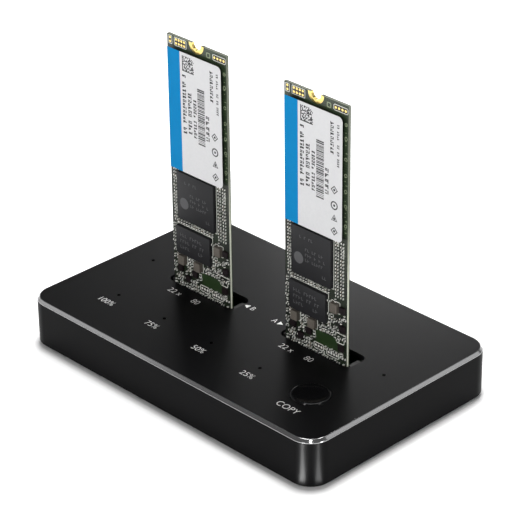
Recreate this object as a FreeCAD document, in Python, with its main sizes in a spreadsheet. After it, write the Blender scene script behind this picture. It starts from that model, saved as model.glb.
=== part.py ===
import FreeCAD, Part
import math
import os
import re
import Sketcher

# Drive duplicator: a low aluminium dock that copies one M.2 solid-state drive onto another.
# Two drive cards stand upright in sockets on the dock's circuit board and lift out of its top.
#
# Millimetres, +Z up. The origin is the middle of the footprint on the surface under the feet.
# +X runs along the long side, the COPY button is at the front (-Y), the ports are at the back.
# Each card is modelled in its own frame: origin at the middle of its contact edge, +Z along it.

SIZES = {
    # Case: an aluminium shell, open below and closed by a base plate let into it
    "case_width": "107.0",
    "case_depth": "67.5",
    "case_height": "13.6",
    "case_corner": "6.2",
    "wall": "1.8",
    "top_skin": "1.5",
    "edge_bevel": "0.9",
    "rim_break": "0.3",
    "base_thickness": "1.6",
    "base_gap": "0.15",
    # Rubber feet, stuck on the base plate
    "foot_height": "0.8",
    "foot_diameter": "9.0",
    "foot_inset_x": "17.0",
    "foot_inset_y": "9.5",
    # Countersunk screws that clamp base plate and board against the shell's bosses
    "screw_inset": "8.0",
    "screw_length": "9.5",
    "shank_diameter": "2.5",
    "head_diameter": "4.7",
    "recess_width": "0.6",
    "recess_length": "2.2",
    "recess_depth": "0.8",
    "thread_gap": "0.03",
    "hole_gap": "0.2",
    "hole_end_gap": "0.8",
    "boss_diameter": "6.4",
    "standoff_diameter": "5.8",
    # Circuit board
    "board_level": "3.4",
    "board_thickness": "1.2",
    "board_gap": "0.6",
    "board_corner": "3.0",
    # Drive bays: a slot in the case over each socket, the card near its front edge
    "left_bay_inset": "32.9",
    "right_bay_inset": "31.4",
    "slot_length": "25.4",
    "slot_front": "1.1",
    "slot_back": "6.3",
    "slot_corner": "2.0",
    "card_shift": "0.6",
    # Upright card sockets
    "socket_length": "24.6",
    "socket_depth": "5.0",
    "socket_height": "6.1",
    "socket_gap": "0.1",
    "socket_floor_gap": "0.2",
    "socket_lead_in": "0.25",
    "tower_width": "1.3",
    "tower_gap": "0.3",
    "tower_drop": "0.5",
    "tab_width": "0.5",
    "tab_depth": "1.6",
    "tab_inset": "1.0",
    "tab_length": "1.0",
    "tab_gap": "0.05",
    "tail_width": "0.22",
    "tail_reach": "0.9",
    "tail_thickness": "0.2",
    # M.2 2280 card
    "card_width": "22.0",
    "card_length": "80.0",
    "card_thickness": "0.8",
    "tongue_width": "19.85",
    "tongue_depth": "4.0",
    "tongue_bevel": "0.2",
    "key_width": "1.2",
    "key_depth": "3.5",
    "right_key": "5.625",
    "left_key": "-6.125",
    "end_notch_radius": "1.75",
    "end_ring_radius": "2.75",
    "pitch": "0.5",
    "finger_width": "0.35",
    "finger_length": "2.3",
    "finger_inset": "0.5",
    "copper": "0.04",
    # Parts on a card
    "chip_height": "1.0",
    "flash_width": "18.0",
    "flash_length": "14.8",
    "flash_spacing": "16.6",
    "label_width": "19.9",
    "label_length": "34.5",
    "label_inset": "3.1",
    "label_corner": "1.3",
    "label_thickness": "0.1",
    "controller_width": "13.9",
    "controller_length": "13.9",
    "controller_x": "-0.95",
    "controller_share": "0.07",
    "memory_width": "13.0",
    "memory_length": "8.3",
    "memory_x": "-2.3",
    "memory_share": "0.25",
    "inductor_width": "2.8",
    "inductor_length": "3.2",
    "inductor_height": "1.2",
    "part_gap": "0.35",
    "power_chip_side": "1.8",
    "power_chip_height": "0.7",
    "capacitor_width": "0.5",
    "capacitor_length": "1.0",
    "capacitor_spacing": "1.45",
    # Control row: progress lights, then the COPY button one step further on
    "row_front_inset": "17.15",
    "row_left_inset": "17.8",
    "button_inset": "16.92",
    "drive_light_inset": "10.0",
    "drive_light_y": "3.0",
    "light_diameter": "1.0",
    "light_guide": "2.0",
    "light_gap": "0.05",
    "light_recess": "0.1",
    "led_side": "1.6",
    "led_height": "0.8",
    # COPY button and the push switch under it
    "button_diameter": "10.4",
    "button_gap": "0.2",
    "button_rise": "0.25",
    "button_bevel": "0.4",
    "button_dish": "0.35",
    "button_flange": "12.4",
    "flange_thickness": "0.8",
    "flange_gap": "0.06",
    "button_skin": "1.3",
    "button_post": "3.6",
    "button_travel": "0.6",
    "switch_side": "6.0",
    "switch_height": "3.6",
    "plunger_diameter": "3.4",
    "plunger_gap": "0.1",
    "plunger_rise": "1.4",
    "plunger_depth": "1.2",
    # USB-C receptacle
    "usb_x": "0.0",
    "usb_width": "8.94",
    "usb_height": "3.16",
    "usb_depth": "7.3",
    "usb_corner": "1.5",
    "usb_skin": "0.3",
    "usb_recess": "0.3",
    "usb_tongue_width": "6.7",
    "usb_tongue_height": "0.7",
    "usb_tongue_length": "4.45",
    "port_gap": "0.35",
    # Power jack
    "jack_inset": "21.5",
    "jack_width": "8.4",
    "jack_height": "7.2",
    "jack_depth": "10.0",
    "jack_corner": "0.4",
    "jack_nose": "7.2",
    "jack_bore": "5.9",
    "jack_bore_depth": "9.5",
    "jack_pin": "2.0",
    "jack_pin_inset": "0.8",
    "jack_pin_root": "1.0",
    # Power switch
    "power_inset": "21.5",
    "power_button_diameter": "5.6",
    "power_button_bevel": "0.4",
    "power_button_inset": "0.1",
    "power_flange": "7.0",
    "power_travel": "1.2",
    "power_stem": "3.0",
    "power_stem_depth": "2.6",
    "power_body_depth": "8.0",
    # Chips and parts on the circuit board
    "processor_side": "12.0",
    "bridge_side": "9.0",
    "package_height": "1.1",
    "crystal_length": "3.2",
    "crystal_width": "2.5",
    "crystal_height": "0.8",
    "coil_side": "6.0",
    "coil_height": "3.0",
    "can_diameter": "6.3",
    "can_height": "5.4",
}

# Places that follow from the sizes, as expressions
SHELL_BOTTOM = "foot_height"
CASE_TOP = "(foot_height + case_height)"
SKIN_BOTTOM = "(foot_height + case_height - top_skin)"
BASE_TOP = "(foot_height + base_thickness)"
BOARD_BOTTOM = "(foot_height + board_level)"
BOARD_TOP = "(foot_height + board_level + board_thickness)"
SOCKET_TOP = "(foot_height + board_level + board_thickness + socket_height)"
BACK_FACE = "(case_depth / 2)"
SCREW_X = "(case_width / 2 - screw_inset)"
SCREW_Y = "(case_depth / 2 - screw_inset)"
FOOT_X = "(case_width / 2 - foot_inset_x)"
FOOT_Y = "(case_depth / 2 - foot_inset_y)"
ROW_Y = "(row_front_inset - case_depth / 2)"
ROW_START = "(row_left_inset - case_width / 2)"
ROW_STEP = "((case_width - row_left_inset - button_inset) / 4)"
BUTTON_X = "(case_width / 2 - button_inset)"
DRIVE_LIGHT_X = "(case_width / 2 - drive_light_inset)"
JACK_X = "(case_width / 2 - jack_inset)"
POWER_X = "(power_inset - case_width / 2)"
BAYS = {"a": "(case_width / 2 - right_bay_inset)", "b": "(left_bay_inset - case_width / 2)"}
CARD_FRONT = "card_thickness / 2"
LABEL_Z = "(card_length - label_inset - label_length / 2)"
# The card's parts between label and case stand one over another; they share the height left over
CASE_ON_CARD = "(case_height - board_level - board_thickness - socket_height + tongue_depth)"
STACK_LENGTH = "(label_inset + label_length + controller_length + memory_length + inductor_length)"
SPARE = f"(card_length - {STACK_LENGTH} - {CASE_ON_CARD})"
CONTROLLER_TOP = f"(card_length - label_inset - label_length - controller_share * {SPARE})"
CONTROLLER_Z = f"({CONTROLLER_TOP} - controller_length / 2)"
MEMORY_Z = f"({CONTROLLER_Z} - controller_length / 2 - memory_share * {SPARE} - memory_length / 2)"
CORNERS = {"front_left": ("-", "-"), "front_right": ("", "-"), "back_left": ("-", ""), "back_right": ("", "")}

doc = FreeCAD.newDocument("DriveDuplicator")
sheet = doc.addObject("Spreadsheet::Sheet", "Sizes")
for row, (alias, number) in enumerate(SIZES.items(), 1):
    sheet.set(f"A{row}", alias)
    sheet.set(f"B{row}", number)
    sheet.setAlias(f"B{row}", alias)
doc.recompute()

sub_parts = []


# ---- Helpers: expressions, sketches and features ----

def sized(text):
    """The expression with each size's name pointed at its cell."""
    return re.sub(r"[a-z_]+", lambda word: f"Sizes.{word[0]}" if word[0] in SIZES else word[0], text)


def value(text):
    return float(sheet.evalExpression(sized(text)))


def new_body(name, x="0", y="0", z="0"):
    """A body with its own label, placed by expressions."""
    body = doc.addObject("PartDesign::Body", name)
    body.Label = name
    for axis, place in zip("xyz", (x, y, z)):
        body.setExpression(f"Placement.Base.{axis}", sized(place))
    sub_parts.append(body)
    return body


def origin_plane(body, role):
    return next(item for item in body.Origin.OriginFeatures if item.Role == role)


def new_sketch(body, name, plane="XY_Plane", offset="0"):
    """A sketch on one of the body's origin planes, moved along the plane's normal.

    The normals are +Z for XY_Plane, -Y for XZ_Plane and +X for YZ_Plane."""
    sketch = body.newObject("Sketcher::SketchObject", name)
    sketch.AttachmentSupport = [(origin_plane(body, plane), "")]
    sketch.MapMode = "FlatFace"
    sketch.setExpression("AttachmentOffset.Base.z", sized(offset))
    return sketch


def dimension(sketch, kind, *target):
    """A constraint whose last argument is an expression."""
    *element, size = target
    index = sketch.addConstraint(Sketcher.Constraint(kind, *element, value(size)))
    sketch.setExpression(f"Constraints[{index}]", sized(size))


def circle(sketch, x, y, diameter):
    centre = FreeCAD.Vector(value(x), value(y), 0)
    ring = sketch.addGeometry(Part.Circle(centre, FreeCAD.Vector(0, 0, 1), value(diameter) / 2))
    dimension(sketch, "DistanceX", ring, 3, x)
    dimension(sketch, "DistanceY", ring, 3, y)
    dimension(sketch, "Diameter", ring, diameter)


def polygon(sketch, points):
    """A closed outline. A point with a third entry ends its side with an arc of that radius:
    positive curves to the left of the way travelled, negative to the right."""
    spots = [FreeCAD.Vector(value(point[0]), value(point[1]), 0) for point in points]
    first = sketch.GeometryCount
    ends = []
    for index, spot in enumerate(spots):
        follower = spots[(index + 1) % len(spots)]
        bend = points[index][2:]
        if not bend:
            sketch.addGeometry(Part.LineSegment(spot, follower))
            ends.append((1, 2))
            continue
        radius = value(bend[0])
        chord = follower - spot
        rise = math.sqrt(max(radius ** 2 - (chord.Length / 2) ** 2, 0))
        across = FreeCAD.Vector(-chord.y, chord.x, 0).normalize()
        centre = (spot + follower) / 2 + across * math.copysign(rise, radius)
        ring = Part.Circle(centre, FreeCAD.Vector(0, 0, 1), abs(radius))
        angles = [math.atan2(end.y - centre.y, end.x - centre.x) for end in (spot, follower)]
        ends.append((1, 2) if radius > 0 else (2, 1))
        if radius < 0:
            angles.reverse()
        sketch.addGeometry(Part.ArcOfCircle(ring, *angles))
        dimension(sketch, "Radius", first + index, bend[0] if radius > 0 else f"-({bend[0]})")
    for index, (start, end) in enumerate(ends):
        after = (index + 1) % len(ends)
        sketch.addConstraint(Sketcher.Constraint(
            "Coincident", first + index, end, first + after, ends[after][0]))
        dimension(sketch, "DistanceX", first + index, start, points[index][0])
        dimension(sketch, "DistanceY", first + index, start, points[index][1])


def rectangle(sketch, x, y, width, length, corner=None):
    """A rectangle about its centre, with rounded corners where a radius is given."""
    left, right = f"{x} - ({width}) / 2", f"{x} + ({width}) / 2"
    low, high = f"{y} - ({length}) / 2", f"{y} + ({length}) / 2"
    if corner is None:
        polygon(sketch, [(left, low), (right, low), (right, high), (left, high)])
        return
    polygon(sketch, [
        (f"{left} + {corner}", low), (f"{right} - {corner}", low, corner),
        (right, f"{low} + {corner}"), (right, f"{high} - {corner}", corner),
        (f"{right} - {corner}", high), (f"{left} + {corner}", high, corner),
        (left, f"{high} - {corner}"), (left, f"{low} + {corner}", corner)])


def pad(body, name, sketch, length):
    """Material along the sketch's normal."""
    feature = body.newObject("PartDesign::Pad", name)
    feature.Profile = sketch
    feature.setExpression("Length", sized(length))
    doc.recompute()
    return feature


def pocket(body, name, sketch, length, forward=True):
    """A cut along the sketch's normal, or against it, that has to take something away."""
    before = body.Shape.Volume
    feature = body.newObject("PartDesign::Pocket", name)
    feature.Profile = sketch
    feature.Reversed = forward
    feature.setExpression("Length", sized(length))
    doc.recompute()
    if body.Shape.Volume > before - 1e-6:
        raise RuntimeError(f"{name} cuts nothing")
    return feature


def revolve(body, name, sketch, axis="V_Axis"):
    feature = body.newObject("PartDesign::Revolution", name)
    feature.Profile = sketch
    feature.ReferenceAxis = (sketch, [axis])
    feature.Angle = 360
    doc.recompute()
    return feature


def edges_where(body, test):
    """Names of the body's edges whose bounding box passes the test."""
    return [f"Edge{number}" for number, edge in enumerate(body.Shape.Edges, 1) if test(edge.BoundBox)]


def dress(body, kind, name, size, test):
    """A Fillet or Chamfer on the edges that pass the test."""
    base = body.Tip
    edges = edges_where(body, test)
    feature = body.newObject(f"PartDesign::{kind}", name)
    feature.Base = (base, edges)
    feature.setExpression("Radius" if kind == "Fillet" else "Size", sized(size))
    doc.recompute()
    return feature


def flat_at(height, diagonal=None):
    """An edge test: lies flat at this height, with this diagonal to its box if one is given."""
    level = value(height)

    def test(box):
        flat = abs(box.ZMin - level) < 1e-4 and abs(box.ZMax - level) < 1e-4
        return flat and (diagonal is None or abs(box.DiagonalLength - diagonal) < 0.01)
    return test


def row_of(body, name, features, sketch, axis, spacing, count):
    """Repeats features along one axis of a sketch."""
    pattern = body.newObject("PartDesign::LinearPattern", name)
    pattern.Originals = features
    pattern.Direction = (sketch, [axis])
    pattern.setExpression("Length", sized(f"({count} - 1) * ({spacing})"))
    pattern.Occurrences = count
    body.Tip = pattern
    doc.recompute()
    return pattern


def box(name, x, y, z, width, depth, height):
    """A plain block about (x, y), standing on z."""
    block = doc.addObject("Part::Box", name)
    block.Label = name
    for side, size in (("Length", width), ("Width", depth), ("Height", height)):
        block.setExpression(side, sized(size))
    places = (f"{x} - ({width}) / 2", f"{y} - ({depth}) / 2", z)
    for axis, place in zip("xyz", places):
        block.setExpression(f"Placement.Base.{axis}", sized(place))
    sub_parts.append(block)
    return block


# ---- Case ----

def make_top_shell():
    body = new_body("top_shell")
    outline = new_sketch(body, "outline", offset=SHELL_BOTTOM)
    rectangle(outline, "0", "0", "case_width", "case_depth", "case_corner")
    pad(body, "block", outline, "case_height")
    dress(body, "Chamfer", "bright_bevel", "edge_bevel", flat_at(CASE_TOP))
    dress(body, "Chamfer", "rim", "rim_break", flat_at(SHELL_BOTTOM))

    inside = new_sketch(body, "inside", offset=SHELL_BOTTOM)
    rectangle(inside, "0", "0", "case_width - 2 * wall", "case_depth - 2 * wall", "(case_corner - wall)")
    pocket(body, "hollow", inside, "case_height - top_skin")

    posts = new_sketch(body, "boss_outlines", offset=BOARD_TOP)
    threads = new_sketch(body, "thread_circles", offset=BOARD_TOP)
    for across, along in CORNERS.values():
        circle(posts, f"{across}{SCREW_X}", f"{along}{SCREW_Y}", "boss_diameter")
        circle(threads, f"{across}{SCREW_X}", f"{along}{SCREW_Y}", "shank_diameter + 2 * thread_gap")
    pad(body, "bosses", posts, f"{SKIN_BOTTOM} - {BOARD_TOP}")
    pocket(body, "threads", threads, f"screw_length + foot_height + hole_end_gap - {BOARD_TOP}")

    openings = new_sketch(body, "top_openings", offset=SKIN_BOTTOM)
    for bay in BAYS.values():
        rectangle(openings, bay, "(slot_back - slot_front) / 2", "slot_length",
                  "slot_back + slot_front", "slot_corner")
    circle(openings, BUTTON_X, ROW_Y, "button_diameter + 2 * button_gap")
    for light in range(4):
        circle(openings, f"{ROW_START} + {light} * {ROW_STEP}", ROW_Y, "light_diameter + 2 * light_gap")
    for side in ("-", ""):
        circle(openings, f"{side}{DRIVE_LIGHT_X}", "drive_light_y", "light_diameter + 2 * light_gap")
    pocket(body, "top_openings_cut", openings, "top_skin")

    ports = new_sketch(body, "port_openings", "XZ_Plane", f"-{BACK_FACE}")
    rectangle(ports, "usb_x", f"({BOARD_TOP} + usb_height / 2)", "usb_width + 2 * port_gap",
              "usb_height + 2 * port_gap", "(usb_corner + port_gap)")
    circle(ports, JACK_X, f"{BOARD_TOP} + jack_height / 2", "jack_nose + 2 * button_gap")
    circle(ports, POWER_X, f"{BOARD_TOP} + jack_height / 2", "power_button_diameter + 2 * button_gap")
    pocket(body, "ports", ports, "wall")


def make_base_plate():
    body = new_body("base_plate")
    outline = new_sketch(body, "outline", offset=SHELL_BOTTOM)
    rectangle(outline, "0", "0", "case_width - 2 * (wall + base_gap)",
              "case_depth - 2 * (wall + base_gap)", "(case_corner - wall - base_gap)")
    pad(body, "plate", outline, "base_thickness")

    posts = new_sketch(body, "standoff_outlines", offset=BASE_TOP)
    holes = new_sketch(body, "screw_circles", offset=SHELL_BOTTOM)
    for across, along in CORNERS.values():
        circle(posts, f"{across}{SCREW_X}", f"{along}{SCREW_Y}", "standoff_diameter")
        circle(holes, f"{across}{SCREW_X}", f"{along}{SCREW_Y}", "shank_diameter + 2 * hole_gap")
    pad(body, "standoffs", posts, f"{BOARD_BOTTOM} - {BASE_TOP}")
    pocket(body, "screw_holes", holes, f"{BOARD_BOTTOM} - {SHELL_BOTTOM}")
    hole_diagonal = value("shank_diameter + 2 * hole_gap") * math.sqrt(2)
    dress(body, "Chamfer", "countersinks", "(head_diameter - shank_diameter) / 2 - hole_gap + thread_gap",
          flat_at(SHELL_BOTTOM, hole_diagonal))


def make_base_screws():
    body = new_body("base_screws", z=SHELL_BOTTOM)
    profile = new_sketch(body, "screw_profile", "XZ_Plane", f"{SCREW_Y}")
    rim = "head_diameter / 2"
    stem = "shank_diameter / 2"
    polygon(profile, [
        (f"{SCREW_X}", "0"), (f"{SCREW_X} + {rim}", "0"), (f"{SCREW_X} + {stem}", f"{rim} - {stem}"),
        (f"{SCREW_X} + {stem}", "screw_length"), (f"{SCREW_X}", "screw_length")])
    turned = body.newObject("PartDesign::Revolution", "screw")
    turned.Profile = profile
    turned.ReferenceAxis = (profile, ["Edge5"])
    doc.recompute()
    corners = body.newObject("PartDesign::MultiTransform", "four_screws")
    corners.Originals = [turned]
    mirrors = []
    for plane in ("YZ_Plane", "XZ_Plane"):
        mirror = body.newObject("PartDesign::Mirrored", f"mirrored_{plane[:2]}")
        mirror.MirrorPlane = (origin_plane(body, plane), [""])
        mirrors.append(mirror)
    corners.Transformations = mirrors
    body.Tip = corners
    doc.recompute()
    crosses = new_sketch(body, "cross_recesses")
    arm, half = "recess_length / 2", "recess_width / 2"
    turns = [(half, arm), (half, half), (arm, half), (arm, f"-{half}"), (half, f"-{half}"),
             (half, f"-{arm}"), (f"-{half}", f"-{arm}"), (f"-{half}", f"-{half}"), (f"-{arm}", f"-{half}"),
             (f"-{arm}", half), (f"-{half}", half), (f"-{half}", arm)]
    for across, along in CORNERS.values():
        polygon(crosses, [(f"{across}{SCREW_X} + {x}", f"{along}{SCREW_Y} + {y}") for x, y in turns])
    pocket(body, "recesses", crosses, "recess_depth")


def make_feet():
    for corner, (across, along) in CORNERS.items():
        body = new_body(f"foot_{corner}", f"{across}{FOOT_X}", f"{along}{FOOT_Y}")
        outline = new_sketch(body, "outline")
        circle(outline, "0", "0", "foot_diameter")
        pad(body, "disc", outline, "foot_height")


# ---- Circuit board ----

def make_main_board():
    body = new_body("main_board", z=BOARD_BOTTOM)
    outline = new_sketch(body, "outline")
    rectangle(outline, "0", "0", "case_width - 2 * (wall + board_gap)",
              "case_depth - 2 * (wall + board_gap)", "board_corner")
    for across, along in CORNERS.values():
        circle(outline, f"{across}{SCREW_X}", f"{along}{SCREW_Y}", "shank_diameter + 2 * hole_gap")
    for bay in BAYS.values():
        for side in ("-", "+"):
            rectangle(outline, f"({bay} + card_shift {side} (socket_length / 2 - tab_inset))", "0",
                      "tab_width + 2 * tab_gap", "tab_depth + 2 * tab_gap")
    pad(body, "laminate", outline, "board_thickness")


def make_socket(bay, centre):
    """An upright card socket: a slot with a key rib, a lead-in, and tabs through the board.

    Towers at its ends rise behind the card almost to the case's top, and steer the card in."""
    body = new_body(f"drive_socket_{bay}", f"{centre} + card_shift", z=BOARD_TOP)
    outline = new_sketch(body, "outline")
    rectangle(outline, "0", "0", "socket_length", "socket_depth")
    pad(body, "housing", outline, "socket_height")

    half = "(tongue_width / 2 + socket_gap)"
    rib = "(key_width / 2 - socket_gap)"
    width = "card_thickness + 2 * socket_gap"
    mouth = new_sketch(body, "mouth_outline", offset="socket_height")
    rectangle(mouth, "0", "0", f"2 * {half}", width)
    pocket(body, "mouth", mouth, "tongue_depth - key_depth + key_width / 2 + socket_gap", forward=False)
    slot = new_sketch(body, "slot_outline", offset="socket_height")
    rectangle(slot, f"((right_key - {rib} - {half}) / 2)", "0", f"right_key - {rib} + {half}", width)
    rectangle(slot, f"((right_key + {rib} + {half}) / 2)", "0", f"{half} - right_key - {rib}", width)
    pocket(body, "slot", slot, "tongue_depth + socket_floor_gap", forward=False)
    longest = value("socket_depth")
    inner = value("card_thickness") / 2 + value("socket_gap")

    def slot_mouth(edge):
        return (edge.ZMin > value("socket_height") - 1e-4 and edge.YMax < inner + 1e-4
                and edge.YMin > -inner - 1e-4 and edge.XLength > longest / 2)
    dress(body, "Chamfer", "lead_in", "socket_lead_in", slot_mouth)

    tabs = new_sketch(body, "tab_outlines", offset="-tab_length")
    for side in ("-", ""):
        rectangle(tabs, f"{side}(socket_length / 2 - tab_inset)", "0", "tab_width", "tab_depth")
    pad(body, "hold_down_tabs", tabs, "tab_length")

    towers = new_sketch(body, "tower_outlines")
    tower_front = "(card_thickness / 2 + tower_gap)"
    tower_back = "(slot_back - slot_corner)"
    for side in ("-", ""):
        rectangle(towers, f"({side}(slot_length / 2 - tower_gap - tower_width / 2) - card_shift)",
                  f"(({tower_front} + {tower_back}) / 2)", "tower_width", f"{tower_back} - {tower_front}")
    pad(body, "guide_towers", towers, f"{CASE_TOP} - tower_drop - {BOARD_TOP}")


def make_socket_contacts(bay, centre):
    """The solder tails of the socket's contacts, a row along each long side."""
    body = new_body(f"socket_contacts_{bay}", f"{centre} + card_shift", z=BOARD_TOP)
    tail = new_sketch(body, "tail", "YZ_Plane", "-9 * 2 * pitch - tail_width / 2")
    edge = "socket_depth / 2"
    rectangle(tail, f"({edge} + tail_reach / 2)", "(tail_thickness / 2)", "tail_reach", "tail_thickness")
    first = pad(body, "first_tail", tail, "tail_width")
    spread = body.newObject("PartDesign::MultiTransform", "tails")
    spread.Originals = [first]
    along = body.newObject("PartDesign::LinearPattern", "along")
    along.Direction = (tail, ["N_Axis"])
    along.setExpression("Length", sized("18 * 2 * pitch"))
    along.Occurrences = 19
    mirror = body.newObject("PartDesign::Mirrored", "both_sides")
    mirror.MirrorPlane = (origin_plane(body, "XZ_Plane"), [""])
    spread.Transformations = [along, mirror]
    body.Tip = spread
    doc.recompute()


def make_board_parts():
    """Chips in a row behind the sockets, coils and cans towards the ports."""
    chip_row = "(socket_depth / 2 + board_gap + processor_side / 2)"
    box("clone_processor", "usb_x", chip_row, BOARD_TOP, "processor_side", "processor_side", "package_height")
    box("bridge_chip", "usb_x - processor_side", chip_row, BOARD_TOP,
        "bridge_side", "bridge_side", "package_height")
    box("crystal", "usb_x + processor_side", chip_row, BOARD_TOP,
        "crystal_length", "crystal_width", "crystal_height")

    coils = new_body("power_coils", z=BOARD_TOP)
    outline = new_sketch(coils, "coil_outlines")
    for side in ("-", ""):
        rectangle(outline, f"{side}3 * coil_side", f"({BACK_FACE} - 2 * coil_side)", "coil_side", "coil_side")
    pad(coils, "coils", outline, "coil_height")

    cans = new_body("capacitor_cans", z=BOARD_TOP)
    outline = new_sketch(cans, "can_outlines")
    for side in ("-", ""):
        circle(outline, f"{side}({DRIVE_LIGHT_X} - can_diameter / 2)", "drive_light_y + 2 * can_diameter",
               "can_diameter")
    pad(cans, "cans", outline, "can_height")


# ---- Lights ----

def light_pipe(body, x, y):
    """A square guide standing on its diode, its round tip in a hole of the case."""
    seat = f"{SKIN_BOTTOM} - {BOARD_TOP}"
    guide = new_sketch(body, "guide_outline", offset="led_height")
    rectangle(guide, x, y, "light_guide", "light_guide")
    tip = new_sketch(body, "tip_circle", offset=seat)
    circle(tip, x, y, "light_diameter")
    return [pad(body, "guide", guide, f"{seat} - led_height"),
            pad(body, "tip", tip, "top_skin - light_recess")], guide


def make_lights():
    for name, x, y, step, count in (
            ("progress_light_pipes", ROW_START, ROW_Y, ROW_STEP, 4),
            ("drive_light_pipes", f"-{DRIVE_LIGHT_X}", "drive_light_y", f"2 * {DRIVE_LIGHT_X}", 2)):
        body = new_body(name, z=BOARD_TOP)
        pipe, sketch = light_pipe(body, x, y)
        row_of(body, "row", pipe, sketch, "H_Axis", step, count)

    leds = new_body("status_leds", z=BOARD_TOP)
    outline = new_sketch(leds, "led_outlines")
    for light in range(4):
        rectangle(outline, f"({ROW_START} + {light} * {ROW_STEP})", ROW_Y, "led_side", "led_side / 2")
    for side in ("-", ""):
        rectangle(outline, f"{side}{DRIVE_LIGHT_X}", "drive_light_y", "led_side", "led_side / 2")
    pad(leds, "leds", outline, "led_height")


# ---- COPY button ----

def make_copy_button():
    """A dished cap with a retaining flange under the skin and a post down to its switch."""
    body = new_body("copy_button", BUTTON_X, ROW_Y, CASE_TOP)
    profile = new_sketch(body, "cap_profile", "XZ_Plane")
    cap, flange, post = "button_diameter / 2", "button_flange / 2", "button_post / 2"
    top = "button_rise"
    flange_top = "-top_skin - flange_gap"
    flange_bottom = f"{flange_top} - flange_thickness"
    ceiling = f"{top} - button_skin"
    post_end = f"{BOARD_TOP} + switch_height + plunger_rise - {CASE_TOP}"
    dish = "(button_diameter / 2 - button_bevel)"
    polygon(profile, [
        ("0", post_end), (post, post_end), (post, ceiling), (f"{cap} - wall / 2", ceiling),
        (f"{cap} - wall / 2", flange_bottom), (flange, flange_bottom), (flange, flange_top),
        (cap, flange_top), (cap, f"{top} - button_bevel"),
        (dish, top), (f"{dish} / 2", f"{top} - button_dish"), ("0", f"{top} - button_dish")])
    revolve(body, "cap", profile)


def make_copy_switch():
    housing = new_body("copy_switch_body", BUTTON_X, ROW_Y, BOARD_TOP)
    outline = new_sketch(housing, "outline")
    rectangle(outline, "0", "0", "switch_side", "switch_side")
    pad(housing, "block", outline, "switch_height")
    guide = new_sketch(housing, "guide_circle", offset="switch_height")
    circle(guide, "0", "0", "plunger_diameter + 2 * plunger_gap")
    pocket(housing, "guide", guide, "plunger_depth + button_travel + plunger_gap", forward=False)

    plunger = new_body("copy_switch_plunger", BUTTON_X, ROW_Y, f"{BOARD_TOP} + switch_height")
    outline = new_sketch(plunger, "outline", offset="-plunger_depth")
    circle(outline, "0", "0", "plunger_diameter")
    pad(plunger, "rod", outline, "plunger_depth + plunger_rise")


# ---- Ports at the back; their frames start at the outside of the back wall ----

def make_usb_port():
    level = f"{BOARD_TOP} + usb_height / 2"
    shell = new_body("usb_port_shell", "usb_x", f"{BACK_FACE} - usb_recess", level)
    outline = new_sketch(shell, "outline", "XZ_Plane")
    rectangle(outline, "0", "0", "usb_width", "usb_height", "usb_corner")
    pad(shell, "tube", outline, "usb_depth")
    mouth = new_sketch(shell, "mouth", "XZ_Plane")
    rectangle(mouth, "0", "0", "usb_width - 2 * usb_skin", "usb_height - 2 * usb_skin",
              "(usb_corner - usb_skin)")
    pocket(shell, "hollow", mouth, "usb_depth - 2 * usb_skin")

    tongue = new_body("usb_port_tongue", "usb_x", f"{BACK_FACE} - usb_recess", level)
    outline = new_sketch(tongue, "outline", "XZ_Plane", "usb_depth - 2 * usb_skin - usb_tongue_length")
    rectangle(outline, "0", "0", "usb_tongue_width", "usb_tongue_height")
    pad(tongue, "blade", outline, "usb_tongue_length")
    root = new_sketch(tongue, "root", "XZ_Plane", "usb_depth - 4 * usb_skin")
    rectangle(root, "0", "0", "usb_tongue_width", "usb_height - 3 * usb_skin")
    pad(tongue, "root_block", root, "2 * usb_skin")


def make_power_jack():
    level = f"{BOARD_TOP} + jack_height / 2"
    body = new_body("power_jack_body", JACK_X, f"{BACK_FACE} - usb_recess", level)
    nose = new_sketch(body, "nose", "XZ_Plane")
    circle(nose, "0", "0", "jack_nose")
    pad(body, "nose_tube", nose, "wall")
    outline = new_sketch(body, "outline", "XZ_Plane", "wall")
    rectangle(outline, "0", "0", "jack_width", "jack_height", "jack_corner")
    pad(body, "block", outline, "jack_depth")
    bore = new_sketch(body, "bore", "XZ_Plane")
    circle(bore, "0", "0", "jack_bore")
    pocket(body, "bore_cut", bore, "jack_bore_depth")
    root = new_sketch(body, "pin_seat", "XZ_Plane", "jack_bore_depth")
    circle(root, "0", "0", "jack_pin")
    pocket(body, "pin_seat_cut", root, "jack_pin_root")

    pin = new_body("power_jack_pin", JACK_X, f"{BACK_FACE} - usb_recess", level)
    outline = new_sketch(pin, "outline", "XZ_Plane", "jack_pin_inset")
    circle(outline, "0", "0", "jack_pin")
    pad(pin, "rod", outline, "jack_bore_depth + jack_pin_root - jack_pin_inset")
    tip = value(f"{BACK_FACE} - usb_recess - jack_pin_inset")
    dress(pin, "Chamfer", "tip", "jack_pin / 5", lambda edge: edge.YMin > tip - 1e-4)


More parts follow.
